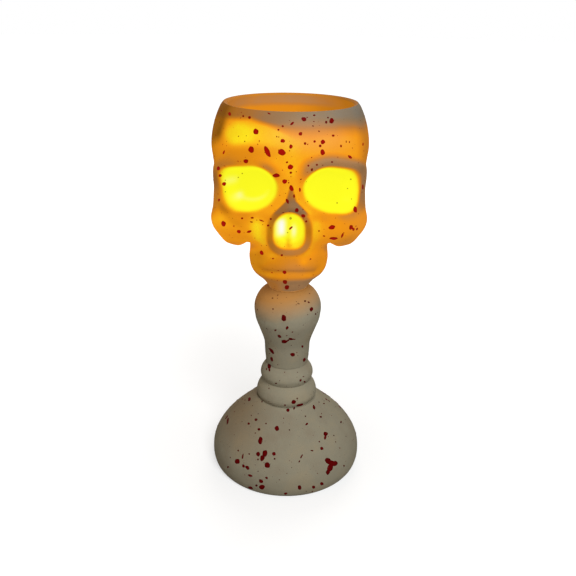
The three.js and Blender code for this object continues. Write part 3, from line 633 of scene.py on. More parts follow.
def makePedestal():
    p = pedestal
    height = p["baseTop"] - p["baseFoot"]
    widest = cadHigh.x / mm
    dome = smoothRun(p["domeShares"], lambda up, out: (
        blend(p["collarRadius"], p["baseRadius"], out), p["baseFoot"] + up * height), p["domeSteps"])
    dome = [(min(radius, widest), z) for radius, z in dome]
    hollow = smoothRun(p["hollowShares"], lambda up, out: (
        out * (p["baseRadius"] - p["wall"]), p["baseFoot"] + up * height), p["hollowSteps"])[::-1]
    socket = p["spigotRadius"] + p["fit"]
    socketFloor = p["baseTop"] - p["spigotLength"] - p["gap"]
    padSeat = p["padThickness"] + p["gap"]
    recess = p["padRadius"] + p["fit"]
    outline = [
        *dome, (socket, p["baseTop"]), (socket, socketFloor), (p["rodHole"], socketFloor),
        (p["rodHole"], p["bossFace"]), (p["bossRadius"], p["bossFace"]), (p["bossRadius"], hollow[0][1]),
        *hollow[:-1], (hollow[-1][0], padSeat), (recess, padSeat), (recess, p["baseFoot"]), dome[0],
    ]
    base = turnPiece("turnedBase", outline, pedestalFinish, p["baseSides"])

    def onCollar(up, out):
        return out * p["collarRadius"], p["collarFoot"] + up * (p["collarTop"] - p["collarFoot"])

    lower, upper = (smoothRun(p[bead], onCollar, p["beadSteps"]) for bead in ("lowerBead", "upperBead"))
    collarSocket = p["collarTop"] - p["spigotLength"] - p["gap"]
    spigotFoot = p["collarFoot"] - p["spigotLength"]
    outline = [
        (p["spigotRadius"], spigotFoot), (p["spigotRadius"], p["collarFoot"]), *lower, *upper[1:],
        (socket, p["collarTop"]), (socket, collarSocket), (p["rodHole"], collarSocket),
        (p["rodHole"], spigotFoot), (p["spigotRadius"], spigotFoot),
    ]
    collar = turnPiece("turnedCollar", outline, pedestalFinish)
    bulb = smoothRun(p["bulb"], lambda up, out: (
        out * p["stemRadius"], p["stemFoot"] + up * (p["stemTop"] - p["stemFoot"])), p["bulbSteps"])
    spigotTop = p["stemTop"] + p["cupSpigot"]
    spigotFoot = p["stemFoot"] - p["spigotLength"]
    outline = [
        (p["spigotRadius"], spigotFoot), (p["spigotRadius"], p["stemFoot"]), *bulb,
        (p["spigotRadius"], p["stemTop"]), (p["spigotRadius"], spigotTop), (p["rodHole"], spigotTop),
        (p["rodHole"], spigotFoot), (p["spigotRadius"], spigotFoot),
    ]
    stem = turnPiece("turnedStem", outline, pedestalFinish)
    edge, radius, top = p["padEdge"], p["padRadius"], p["padThickness"]
    pad = turnPiece("feltPad", [
        (0, 0), (radius - edge, 0), (radius, edge), (radius, top - edge), (radius - edge, top), (0, top),
    ], feltFinish)
    for piece, node, slot in ((base, "base", "matt_paint"), (collar, "stem_collar", "matt_paint"),
                              (stem, "stem", "matt_paint"), (pad, "foot_pad", "felt")):
        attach(piece, "holder")
        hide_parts(node)
    # the silicone between stem and glass, with a rounded outer edge
    s = seatBead
    low, high = p["stemTop"] + s["gap"], cup["seam"] - s["gap"]
    widest, bore = cup["neckRadius"] - s["inset"], cup["socketRadius"]
    bead = turnPiece("seatBead", [
        (bore, low), (widest - s["edge"], low), (widest - s["bulge"], low + s["rise"]),
        (widest, (low + high) / 2),
        (widest - s["bulge"], high - s["rise"]), (widest - s["edge"], high), (bore, high), (bore, low),
    ], siliconeFinish)
    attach(bead, "holder")
    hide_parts("cup_seat_gasket")
    return base, collar, stem


# Skull cup: rows of an outline at five stations round the head, as (reach, height) shares
cup = {
    "neckRadius": 11.8, "jawRadius": 23.2, "headRadius": 45.1, "seam": 122.4, "socketTop": 126.0,
    "pocketFloor": 130.0, "floor": 138.0, "rim": 230.0, "glass": 2.2, "mouthRadius": 34.5, "lipDrop": 0.9,
    "lipShares": (0.25, 0.5, 0.75, 0.92), "lipIn": 0.15, "lipUnder": 0.35,
    "wellRadius": 20.3, "pocketRadius": 8.5, "rodHole": 3.3, "socketRadius": 7.9,
    "columns": 288, "outerRows": 222, "innerRows": 66, "crowding": 0.55, "rimShare": 0.622,
    "measuredRows": 1601, "measuredTurns": 9, "wallRows": 400,
    "innerFrom": 4 / 20, "innerTo": 19 / 20,  # the stretch of the outline that the inner wall follows
}
stations = np.array([0, 1 / 6, 1 / 3, 1 / 2, 1])
bowlRows = [
    ((0.50, 0.46, 0.35, 0.31, 0.32), (0.44, 0.41, 0.34, 0.31, 0.31)),
    ((1.08, 1.04, 0.84, 0.74, 0.75), (0.82, 0.79, 0.68, 0.60, 0.60)),
    ((1.42, 1.37, 1.06, 0.90, 0.92), (1.15, 1.09, 0.96, 0.85, 0.86)),
]
headRows = [
    ((0.283, 0.270, 0.080, -0.015, -0.01), (0.084, 0.073, 0.051, 0.035, 0.035)),
    ((0.384, 0.330, 0.090, -0.01, 0.03), (0.153, 0.172, 0.162, 0.122, 0.112)),
    ((0.457, 0.450, 0.310, 0.290, 0.290), (0.189, 0.215, 0.171, 0.093, 0.094)),
    ((0.539, 0.610, 0.630, 0.575, 0.540), (0.226, 0.244, 0.178, 0.118, 0.120)),
    ((0.621, 0.785, 0.865, 0.820, 0.749), (0.274, 0.275, 0.239, 0.186, 0.180)),
    ((0.685, 0.865, 0.970, 0.960, 0.868), (0.324, 0.316, 0.287, 0.240, 0.236)),
    ((0.731, 0.886, 1.000, 1.000, 0.922), (0.373, 0.368, 0.333, 0.291, 0.297)),
    ((0.767, 0.877, 0.948, 0.942, 0.945), (0.422, 0.427, 0.400, 0.365, 0.373)),
    ((0.785, 0.858, 0.908, 0.916, 0.968), (0.482, 0.487, 0.471, 0.449, 0.455)),
    ((0.795, 0.855, 0.885, 0.888, 0.982), (0.547, 0.553, 0.547, 0.537, 0.542)),
    ((0.831, 0.886, 0.893, 0.868, 0.986), (0.613, 0.618, 0.618, 0.618, 0.618)),
    ((0.881, 0.938, 0.935, 0.903, 0.982), (0.678, 0.684, 0.684, 0.684, 0.684)),
    ((0.913, 0.950, 0.954, 0.936, 0.973), (0.755, 0.755, 0.755, 0.755, 0.755)),
    ((0.895, 0.913, 0.913, 0.900, 0.918), (0.836, 0.836, 0.836, 0.836, 0.836)),
    ((0.804, 0.808, 0.808, 0.808, 0.813), (0.916, 0.916, 0.916, 0.916, 0.916)),
    ((0.680,) * 5, (0.983,) * 5),
    ((0.622,) * 5, (1,) * 5),
]

base, collar, stem = makePedestal()
print("pedestal turned")

# Face, from its middle line and from the cup's floor
face = {
    "slope": 0.375, "slopeFrom": 0.843 * 45.1, "frontReach": 0.27 * 45.1,
    "eyeSpread": 23.4, "eyeLevel": 52.8, "eyeInner": 16.4, "eyeOuter": 13.4, "eyeSlant": 1.2, "eyeRise": 12.2,
    "eyeDepth": 6.0, "hollowEdge": 1.12, "hollowSoftness": 0.5,
    "noseLevel": 30.2, "noseReach": 9.0, "noseRise": 10.2, "noseDepth": 5.0,
    "septumWidth": 3.0, "septumHeight": 2.6,
    "brow": 1.5, "bridge": 1.6, "bridgeReach": 5.0, "noseRim": 1.1, "muzzle": 1.1, "muzzleReach": 16.5,
    "toothLevel": 6.7, "muzzleHalf": 18.2, "muzzleMiddle": 21.0, "muzzleGroove": 0.3,
    "grooveTop": 24, "pit": 0.6, "pitSpread": 9.0, "pitLevel": 16.2, "pitAcross": 3.2, "pitUp": 2.4,
    # shares of the opening's size: the ridges round the eyes and the nose, and the width of the grooves
    "browRing": 1.28, "noseRing": 1.25, "ringWidth": 0.2, "grooveWidth": 0.1,
}


def aroundHead(values, turn):
    # smooth value between the stations, level at the front and at the back
    values = np.asarray(values, dtype=float)
    share = np.minimum(np.abs(turn) / math.pi, 1)
    spans = np.diff(stations)
    rates = np.diff(values) / spans
    slopes = np.zeros(5)
    slopes[1:4] = (rates[:3] * spans[1:] + rates[1:] * spans[:3]) / (spans[:3] + spans[1:])
    at = np.clip(np.searchsorted(stations, share, side="left") - 1, 0, 3)
    t = (share - stations[at]) / spans[at]
    rest = 1 - t
    return (values[at] * (1 + 2 * t) * rest ** 2 + values[at + 1] * t * t * (3 - 2 * t)
            + spans[at] * (slopes[at] * t * rest ** 2 - slopes[at + 1] * t * t * rest))


def headOutline(turn, along):
    # (radius, height) of the outline at each turn (rows) and share along it (columns): a centripetal spline
    c = cup
    points = [np.stack([np.full_like(turn, c["neckRadius"]), np.full_like(turn, c["seam"])], axis=-1)]
    for reach, height in bowlRows:
        points.append(np.stack([
            c["neckRadius"] + aroundHead(reach, turn) * (c["jawRadius"] - c["neckRadius"]),
            c["seam"] + aroundHead(height, turn) * (c["floor"] - c["seam"])], axis=-1))
    for reach, height in headRows:
        points.append(np.stack([
            c["jawRadius"] + aroundHead(reach, turn) * (c["headRadius"] - c["jawRadius"]),
            c["floor"] + aroundHead(height, turn) * (c["rim"] - c["floor"])], axis=-1))
    points = np.stack([2 * points[0] - points[1], *points, 2 * points[-1] - points[-2]], axis=1)
    spans = points.shape[1] - 3
    at = np.clip((along * spans).astype(int), 0, spans - 1)
    t = (along * spans - at)[None, :, None]
    p0, p1, p2, p3 = (points[:, at + k] for k in range(4))
    d0, d1, d2 = (np.maximum(np.linalg.norm(b - a, axis=-1, keepdims=True) ** 0.5, 1e-4)
                  for a, b in ((p0, p1), (p1, p2), (p2, p3)))
    m1 = ((p1 - p0) / d0 - (p2 - p0) / (d0 + d1) + (p2 - p1) / d1) * d1
    m2 = ((p2 - p1) / d1 - (p3 - p1) / (d1 + d2) + (p3 - p2) / d2) * d1
    return p1 + m1 * t + (3 * p2 - 3 * p1 - 2 * m1 - m2) * t ** 2 + (2 * p1 - 2 * p2 + m1 + m2) * t ** 3


def faceLevel(y, z):
    return z - cup["floor"] + face["slope"] * (y + face["slopeFrom"])


def rounded(across, up, reach, rise, squareness):
    return (np.abs(across / reach) ** squareness + np.abs(up / rise) ** squareness) ** (1 / squareness)


def eyeDistance(x, level):
    across = np.abs(x) - face["eyeSpread"]
    up = level - face["eyeLevel"]
    outer = face["eyeOuter"] + face["eyeSlant"] * np.clip(up / face["eyeRise"], -1, 1)
    reach = np.where(across > 0, outer, face["eyeInner"])
    squareness = np.where(across > 0, np.where(up > 0, 6, 2.8), 2)
    return rounded(across, up, reach, face["eyeRise"], squareness)


def noseDistance(x, level):
    up = level - face["noseLevel"]
    return rounded(x, up, face["noseReach"], face["noseRise"], np.where(up > 0, 2, 2.5))


def faceHollow(x, y, z):
    front = smooth(-y / face["frontReach"])
    level = faceLevel(y, z)
    nose = noseDistance(x, level)
    edge, softness = face["hollowEdge"], face["hollowSoftness"]
    sunk = (face["eyeDepth"] * rise(eyeDistance(x, level), edge, -softness)
            + face["noseDepth"] * rise(nose, edge, -softness))
    foot = smooth((face["noseLevel"] - level) / face["noseRise"] + 0.3)
    septum = face["septumHeight"] * bump(x, face["septumWidth"] / 2) * foot * rise(nose, 1, -0.3)
    return front * (sunk - septum)


def muzzleEdge(x, level):
    # 1 on the U-shaped line round the muzzle, whose lower run is the line of the teeth
    middle = face["muzzleMiddle"]
    return rounded(x, level - middle, face["muzzleHalf"], middle - face["toothLevel"], 5)


def faceRelief(x, y, z):
    front = smooth(-y / face["frontReach"])
    level = faceLevel(y, z)
    brow = (face["brow"] * rise(level, face["eyeLevel"], face["eyeRise"])
            * bump(eyeDistance(x, level) - face["browRing"], face["ringWidth"]))
    bridge = face["bridge"] * bump(x, face["bridgeReach"]) * bump(level - face["eyeLevel"], face["eyeRise"])
    noseRim = face["noseRim"] * bump(noseDistance(x, level) - face["noseRing"], face["ringWidth"])
    side = rise(np.abs(x), face["muzzleReach"], -face["muzzleReach"] / 5)
    tooth = face["toothLevel"]
    up = rise(level, tooth, tooth / 4)
    fade = 1 - rise(level, 2 * tooth, tooth)
    groove = bump(muzzleEdge(x, level) - 1, face["grooveWidth"]) * rise(level, face["grooveTop"], -8)
    pit = bump(np.abs(x) - face["pitSpread"], face["pitAcross"])
    pit *= bump(level - face["pitLevel"], face["pitUp"])
    grooves = face["muzzleGroove"] * groove + face["pit"] * pit
    return front * (brow + bridge + noseRim + face["muzzle"] * side * up * fade - grooves)


def evenShares(rows):
    # shares along the outline that lie evenly by length, averaged round the head
    fine = np.linspace(0, 1, cup["measuredRows"])
    run = headOutline(np.linspace(0, math.pi, cup["measuredTurns"]), fine)
    steps = np.linalg.norm(np.diff(run, axis=1), axis=-1).mean(axis=0)
    length = np.concatenate([[0], np.cumsum(steps)])
    return np.interp(np.linspace(0, length[-1], rows), length, fine)


def aroundAxis(profile, turn, push):
    reach = profile[..., 0] + push
    turn = turn[:, None]
    return np.stack([reach * np.sin(turn), -reach * np.cos(turn), profile[..., 1] + 0 * push], axis=-1)


def makeSkull():
    c = cup
    even = np.arange(c["columns"]) * 2 * math.pi / c["columns"]
    turn = even - c["crowding"] * np.sin(even)
    turn = np.where(turn > math.pi, turn - 2 * math.pi, turn)
    along = evenShares(c["outerRows"])
    outline = headOutline(turn, along)
    bare = aroundAxis(outline, turn, np.zeros(outline.shape[:2]))
    hollow = faceHollow(bare[..., 0], bare[..., 1], bare[..., 2])
    relief = faceRelief(bare[..., 0], bare[..., 1], bare[..., 2])
    outer = aroundAxis(outline, turn, relief - hollow)

    # the inner wall lies one glass thickness inside the outline, from the floor up to under the lip
    shares = evenShares(c["wallRows"])
    shares = shares[(shares >= c["innerFrom"]) & (shares <= c["innerTo"])]
    shares = np.interp(np.linspace(0, 1, c["innerRows"]), np.linspace(0, 1, len(shares)), shares)
    wall = headOutline(turn, shares)
    ahead = headOutline(turn, np.minimum(shares + 1e-4, 1)) - headOutline(turn, shares - 1e-4)
    ahead /= np.linalg.norm(ahead, axis=-1, keepdims=True)
    inset = np.stack([np.maximum(wall[..., 0] - c["glass"] * ahead[..., 1], c["wellRadius"]),
                      wall[..., 1] + c["glass"] * ahead[..., 0]], axis=-1)
    there = aroundAxis(wall, turn, np.zeros(wall.shape[:2]))
    inner = aroundAxis(inset, turn, -faceHollow(there[..., 0], there[..., 1], there[..., 2]))[:, ::-1]

    rimRadius = blend(c["jawRadius"], c["headRadius"], c["rimShare"])
    lip = [(blend(rimRadius, c["mouthRadius"], share), c["rim"] - c["lipDrop"] * share ** 1.8)
           for share in c["lipShares"]]
    lip.append((c["mouthRadius"] - c["lipIn"], c["rim"] - c["lipDrop"] - c["lipUnder"]))
    half = c["glass"] / 2
    steps = [(c["wellRadius"], c["floor"] + half), (c["wellRadius"] - half, c["floor"])]
    steps += [(c[radius], c[height]) for radius, height in (
        ("pocketRadius", "floor"), ("pocketRadius", "pocketFloor"), ("rodHole", "pocketFloor"),
        ("rodHole", "socketTop"), ("socketRadius", "socketTop"), ("socketRadius", "seam"))]

    def rings(profile):
        flat = np.broadcast_to(np.array(profile)[None], (len(turn), len(profile), 2))
        return aroundAxis(flat, turn, np.zeros(flat.shape[:2]))

    columns = np.concatenate([outer, rings(lip), inner, rings(steps)], axis=1)
    rows = columns.shape[1]
    side = np.arange(len(turn))[:, None]
    row = np.arange(rows)[None, :]
    nextSide, nextRow = (side + 1) % len(turn), (row + 1) % rows
    faces = np.stack(np.broadcast_arrays(
        side * rows + row, nextSide * rows + row, nextSide * rows + nextRow, side * rows + nextRow,
    ), axis=-1).reshape(-1, 4)
    skull = meshPiece("skullCup", columns.reshape(-1, 3) * mm, faces, skullFinish, 50)
    outside = np.zeros((len(turn), rows), dtype=bool)
    outside[:, :c["outerRows"]] = True
    source = np.concatenate([bare, columns[:, c["outerRows"]:]], axis=1)
    paintSkull(skull.data, source.reshape(-1, 3), np.repeat(turn, rows), outside.ravel())
    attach(skull, "holder")
    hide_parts("skull_cup")
    return skull


# How the light comes through, as painted glow and shade: one row of values per direction, in degrees from the
# front (right is positive)
glowPattern = {
    "forehead": {-180: 0.74, -100: 0.74, -60: 0.76, -30: 0.81, 0: 0.86, 25: 0.84, 45: 0.82, 60: 0.74,
                 100: 0.72, 180: 0.74},
    "cheeks": {-180: 0.74, -100: 0.76, -60: 0.80, -42: 0.82, -28: 0.80, -10: 0.86, 12: 0.88, 25: 0.77,
               45: 0.73, 60: 0.64, 100: 0.68, 180: 0.74},
    "jaw": {-180: 0.7, -60: 0.80, -26: 0.80, -12: 0.73, 0: 0.58, 14: 0.57, 24: 0.66, 36: 0.76, 60: 0.74,
            180: 0.7},
    "jawShade": {-180: 0.8, -60: 0.72, -25: 0.76, -12: 0.84, 2: 1.02, 14: 1.03, 30: 0.92, 60: 0.86, 180: 0.8},
    "rimFrom": {-180: 222, -110: 222, -65: 223.7, -47: 224.9, -32: 226.0, -18: 224.2, -8: 222.8, 0: 222,
                40: 222, 60: 220.5, 110: 221, 180: 222},
    "rim": {-180: 0.3, -90: 0.45, -75: 0.66, -57: 0.58, -45: 0.46, -38: 0.45, -25: 0.35, -8: 0.2, 10: 0.12,
            30: 0.07, 60: 0.04, 90: 0.05, 180: 0.3},
    "rimShade": {-180: 0.85, -100: 0.6, -75: 0.28, -62: 0.32, -55: 0.52, -47: 0.68, -38: 0.74, -25: 0.8,
                 -8: 0.86, 5: 0.93, 30: 0.92, 50: 0.85, 75: 0.76, 100: 0.8, 180: 0.85},
    "lining": {-180: 0.37, -120: 0.44, -90: 0.5, 0: 0.5, 90: 0.68, 120: 0.62, 145: 0.45, 165: 0.37,
               180: 0.37},
    "liningShade": {-180: 1.12, -150: 1.08, -120: 0.95, -90: 0.75, 0: 0.75, 90: 0.56, 120: 0.64, 145: 0.92,
                    165: 1.08, 180: 1.12},
    # painted shade: the dark band round the right eye, partly darker paint and partly shade under the brow:
    # weight and reach for each of eight directions, from the outer side over the top to the inner side and
    # under
    "eyeBand": (0.85, 1.0, 1.0, 0.95, 0.15, 0.0, 0.1, 0.2),
    "eyeReach": (1.7, 1.50, 1.55, 1.55, 1.2, 1.1, 1.15, 1.3),
    "eyeBandGlow": 0.28, "peakGlow": 0.26,
    # painted light: a pinkish cast where the lamp lights the paint on the right of the forehead, placed as
    # the marks below are
    "haze": ((14, 80.5), 0.0, (26, 7.5), 3), "hazeShare": 0.16,
    # how far the clear glass reaches past the edge of the hollow, for the same eight directions
    "leftEyeWider": (0.03, 0.07, -0.01, 0.0, 0.03, 0.04, 0.03, 0.0),
    "rightEyeWider": (0.09, 0.0, -0.02, 0.0, 0.06, 0.05, 0.05, 0.11),
    # the same for the nose, and the painted glow and shade of the ring round it, for eight directions from
    # its right side over the top
    "noseWider": (0.0, 0.0, 0.0, -0.04, -0.06, 0.02, 0.02, 0.08),
    "ring": (0.72, 0.46, 0.44, 0.58, 0.80, 0.52, 0.42, 0.43),
    "ringShade": (0.62, 0.88, 0.72, 0.62, 0.54, 0.72, 0.96, 1.02),
}
# Marks of painted light and shade: middle (degrees from the front, level), fall of the level per degree, half
# widths, edge (2 is soft, 6 is firm), glow, shade and strength
glowMarks = {
    "forehead patch, right end": ((-17, 79.6), 0.12, (19, 6.6), 2.8, 0.93, 1.0, 1.0),
    "forehead patch": ((-39, 81.6), 0.17, (14.0, 6.6), 4, 1.0, 1.0, 0.97),
    "below the patch": ((-37, 70.6), 0.0, (22, 4.4), 3, 0.74, 0.84, 0.95),
    "brow, left": ((-53, 67.4), 0.0, (14, 3.0), 2.8, 0.48, 0.86, 0.8),
    "brow, left inner end": ((-15, 63.0), 0.35, (5.4, 2.8), 2.2, 0.44, 1.05, 0.9),
    "temple, left": ((-80, 60), 0.0, (19, 9), 3, 0.42, 0.60, 0.95),
    "cheekbone, left": ((-80, 49), 0.0, (16, 7), 3, 0.54, 0.88, 0.85),
    "eye's lower corner, left": ((-51, 40.4), 0.45, (11, 2.8), 2.4, 0.66, 0.52, 1.0),
    "eye's lower edge, left": ((-39, 39.4), 0.0, (9, 1.7), 2.4, 0.74, 0.86, 0.75),
    "under the left eye": ((-30, 37.2), 0.0, (15, 2.6), 2.6, 0.72, 0.9, 0.9),
    "cheek, left": ((-62, 36.8), 0.0, (16, 4.4), 2.4, 0.89, 1.02, 0.85),
    "lobe, left": ((-52, 27.4), 0.0, (18, 3.2), 2.4, 0.76, 0.97, 0.9),
    "lobe's foot, left": ((-60, 22.2), 0.0, (17, 2.0), 2.4, 0.56, 0.92, 0.8),
    "beside the nose, left": ((-25, 30.5), 0.0, (5.6, 7.6), 2.6, 0.98, 1.0, 0.95),
    "eye's lower corner, right": ((48, 40.6), 0.0, (8, 2.8), 2.4, 0.50, 1.08, 0.9),
    "eye's lower edge, right": ((43, 38.4), 0.0, (6, 2.0), 2.4, 0.58, 1.04, 0.8),
    "under the right eye": ((23, 37.4), 0.0, (5.5, 1.9), 2.4, 0.62, 0.98, 0.8),
    "cheek's edge, right": ((64, 33), 0.0, (12, 6), 2.4, 0.6, 1.02, 0.85),
    "lobe, right": ((57, 25.0), 0.0, (15, 3.4), 2.6, 0.58, 0.9, 0.9),
    "lobe's foot, right": ((60, 21.6), 0.0, (15, 1.9), 2.4, 0.46, 0.98, 0.85),
    "beside the nose, right": ((19.5, 29.8), 0.0, (5.0, 7.2), 2.4, 0.91, 0.98, 0.9),
    "upper lip, right": ((14.5, 16.5), 0.0, (4.5, 2.6), 2.4, 0.82, 0.9, 0.8),
    "upper lip, left": ((-18, 19), 0.0, (9, 2.4), 2.4, 0.76, 0.86, 0.7),
}
# Painted highlights, small spots almost white, in the nose and the left eye: strength, middle and half width
# across and up
whiteSpots = ((0.42, 2.6, 1.5, 28.6, 2.9), (0.12, -34.9, 2.2, 58.5, 2.0), (0.18, -31.4, 2.2, 49.1, 2.2))


def aroundOpening(name, across, up):
    # smooth value between the eight directions; across counts away from the nose, or to its right
    weights = np.array(glowPattern[name])
    at = (np.arctan2(up, across) / (2 * math.pi) * 8) % 8
    low = np.floor(at).astype(int) % 8
    t = smooth(at - np.floor(at))
    return weights[low] * (1 - t) + weights[(low + 1) % 8] * t


def tinted(skin, weight, glow, shade):
    # moves the skin's glow and shade towards the given ones
    skin.glow = blend(skin.glow, glow, weight)
    skin.shade = blend(skin.shade, shade, weight)


def rowAt(skin, name):
    row = glowPattern[name]
    return np.interp(skin.degrees, list(row), list(row.values()))


def paintSides(skin):
    # painted glow and shade: deep amber and darker towards the left edge of the brow, duller towards the
    # right edge, and softly clouded at the back
    turn, degrees, level, z = skin.turn, skin.degrees, skin.level, skin.z
    aside = np.abs(degrees)
    waves = (np.sin(3 * turn + 0.07 * z) + np.sin(5 * turn - 0.11 * z + 1.3)
             + np.sin(2 * turn + 0.19 * z + 0.4)) / 3
    skin.glow = blend(rowAt(skin, "cheeks"), rowAt(skin, "forehead"), rise(level, 50, 14))
    skin.glow += (0.02 + 0.09 * rise(aside, 90, 50)) * waves
    skin.glow += 0.1 * bump(aside - 150, 34) * bump(z - 186, 22)
    leftEdge = rise(-degrees, 50, 12) * (1 - rise(-degrees, 86, 44)) * rise(z, 150, 20)
    amber = 0.95 - (0.08 + 0.16 * rise(level, 38, 8)) * rise(-degrees, 58, 20)
    tinted(skin, leftEdge, 0.75, blend(amber, 0.36, rise(level, 77, 8)))
    skin.shade *= 1 - 0.2 * bump(degrees + 62, 5) * bump(level - 86, 4)
    rightEdge = rise(degrees, 50, 18) * (1 - rise(degrees, 86, 44)) * rise(z, 165, 15)
    tinted(skin, rightEdge, 0.6, 0.77 + 0.2 * rise(level, 50, -10))


def markWeight(skin, middle, fall, half, edge):
    aside = (skin.degrees - middle[0]) / half[0]
    above = (skin.level - middle[1] + fall * (skin.degrees - middle[0])) / half[1]
    return np.exp(-0.7 * np.hypot(aside, above) ** edge)


def paintMarks(skin):
    degrees, level = skin.degrees, skin.level
    for middle, fall, half, edge, glow, shade, strength in glowMarks.values():
        weight = strength * markWeight(skin, middle, fall, half, edge) * skin.facing
        tinted(skin, weight, glow, shade)
    # painted light: the lobes of the cheeks and the upper left forehead are lit brighter
    left, right = bump(degrees + 66, 18) * bump(level - 33, 9), bump(degrees - 64, 15) * bump(level - 36, 10)
    skin.shade *= 1 + 0.15 * left + 0.11 * right
    skin.shade += 0.09 * bump(degrees + 32, 18) * bump(level - 76.5, 4.5)


def paintEyeBand(skin):
    # dark band round the right eye, out to the temple: partly darker paint, partly painted shade under the
    # brow
    reach = aroundOpening("eyeReach", skin.eyeAcross, skin.eyeUp)
    band = aroundOpening("eyeBand", skin.eyeAcross, skin.eyeUp) * skin.front * (skin.x > 0)
    tinted(skin, band * (1 - rise(skin.eye, reach - 0.26, 0.38)), glowPattern["eyeBandGlow"],
           1.06 - 0.26 * rise(skin.degrees, 46, 16))


def paintJaw(skin):
    # painted glow and shade on the jaw and muzzle, the line of the teeth, the chin and the neck
    x, level = skin.x, skin.level
    low = rise(level, 24, -8) * skin.front
    jaw = smooth((18.8 - level + 2.5 * rise(-x, 10, 6)) / 5) * rise(skin.nose, 1.15, 0.25)
    jaw = jaw * (skin.z < 165)
    skin.glow = blend(skin.glow, rowAt(skin, "jaw"), 0.92 * jaw)
    skin.shade = blend(skin.shade, rowAt(skin, "jawShade"), 0.95 * jaw)
    pits = bump(np.abs(x) - face["pitSpread"], 3.4) * bump(level - face["pitLevel"], 2.6) * skin.front
    skin.glow += 0.06 * pits
    # painted shade in the groove round the muzzle and along the line of the teeth
    line = bump(muzzleEdge(x, level) - 0.95, 0.1) * low * (0.2 + 0.8 * rise(level, 13, -5))
    skin.shade *= 1 - 0.14 * line
    skin.glow -= 0.07 * line
    skin.glow -= 0.12 * bump(level - 9.4, 2.8) * rise(np.abs(x), 16, -4) * low
    skin.shade += 0.1 * bump(level - 10.5, 3.6) * bump(x - 3.5, 7) * low
    skin.glow += 0.2 * bump(level - 13.0, 2.4) * bump(x - 7.6, 2.6) * low
    chin = bump(level - 4.6, 2.2) * rise(np.abs(x), 15, -4) * low
    skin.glow += 0.03 * chin
    skin.shade += 0.1 * chin
    tinted(skin, rise(skin.z, cup["floor"] - 0.8, -6.5), blend(0.44, 0.24, rise(x, -9, 11)),
           blend(0.72, 1.08, rise(x, -10, 13)))


def paintNoseRing(skin):
    # painted glow and shade: the ring round the nose and the dark peak that runs up the bridge from it
    x, level, nose = skin.x, skin.level, skin.nose
    ring = rise(nose, 0.94, 0.12) * (1 - rise(nose, 1.2, 0.24)) * skin.front
    tinted(skin, ring, *(aroundOpening(name, skin.noseAcross, skin.noseUp) for name in ("ring", "ringShade")))
    half = 0.35 + 0.27 * np.maximum(54.5 - level, 0) + 0.68 * np.maximum(46.4 - level, 0)
    peak = smooth((half - np.abs(x - 0.3)) / 1.6 + 0.5) * rise(nose, 0.96, 0.12) * skin.front
    peak *= rise(level, 38, 3) * rise(level, 55.8, -4)
    side = rise(x, -3.5, 5)
    foot = blend(0.40, glowPattern["peakGlow"], side)
    tinted(skin, peak, blend(0.48, foot, rise(level, 50, -5)), 0.66 + 0.1 * side)


def paintRim(skin):
    # painted shade: the rim band, where less light from inside reaches, brown on the left, wider and greyer
    # on the right
    width = blend(3.2, 12.0, rise(skin.degrees, -18, 28))
    rim = smooth((skin.z - rowAt(skin, "rimFrom")) / width + 0.5)
    tinted(skin, rim, rowAt(skin, "rim"), rowAt(skin, "rimShade"))


def paintLining(skin):
    # painted light inside the cup: tan near the rim, bright further down, and a darker lip
    deep = rise(skin.z, 224.4, -3)
    right = rise(skin.degrees, 90, 45) * rise(skin.degrees, 180, -45)
    inside = blend(rowAt(skin, "lining"), 0.7, deep)
    insideShade = blend(rowAt(skin, "liningShade"), 0.92 - 0.26 * right, deep)
    lip = rise(skin.z, cup["rim"] - 1.4, 0.8)
    skin.glow = np.where(skin.outside, skin.glow, blend(inside, 0.58, lip))
    skin.shade = np.where(skin.outside, skin.shade, blend(insideShade, 0.8 * insideShade, lip))


def paintOpenings(skin):
    # the eyes and the nose: clear glass glowing with painted light, with a soft amber edge and a few painted
    # highlights that are almost white
    x, level, eye, nose = skin.x, skin.level, skin.eye, skin.nose
    halo = np.maximum(1 - rise(eye, 0.92, 0.17), 1 - rise(nose, 0.86, 0.18))
    halo *= skin.front * skin.outside
    notch = bump(x + 0.7, 2.2) * rise(level, 27, -4)
    tinted(skin, halo, 0.99 - 0.1 * (nose < 1.1) * np.maximum(notch, rise(level, 36.8, 2)), 1)
    clearEye = 1 - rise(eye, 0.86, 0.14)
    inner = rounded(skin.noseAcross, level - 30.6, 9.0, 8.6, 2.3)
    inner -= aroundOpening("noseWider", skin.noseAcross, level - 30.6)
    clearNose = (1 - rise(inner, 0.8, 0.26)) * (1 - 0.3 * bump(x + 0.4, 1.1)) * (1 - 0.65 * notch)
    skin.bare = np.maximum(clearEye, clearNose) * skin.front * skin.outside
    # painted highlights: a bright streak in the nose, and spots and an arc in the left eye
    hot = np.exp(-((x + 5.1) / 2.2) ** 2 - ((level - 30.8) / 4.4) ** 4)
    for strength, across, halfAcross, up, halfUp in whiteSpots:
        hot += strength * bump(x - across, halfAcross) * bump(level - up, halfUp)
    bow = np.hypot((x + 22.3) / 10.5, (level - 52.9) / 6.8)
    hot += 0.08 * bump(bow - 1, 0.16) * (level < 51) * rise(x, -34.8, 3) * rise(x, -10.8, -9)
    skin.hot = np.clip(hot, 0, 1) * skin.bare


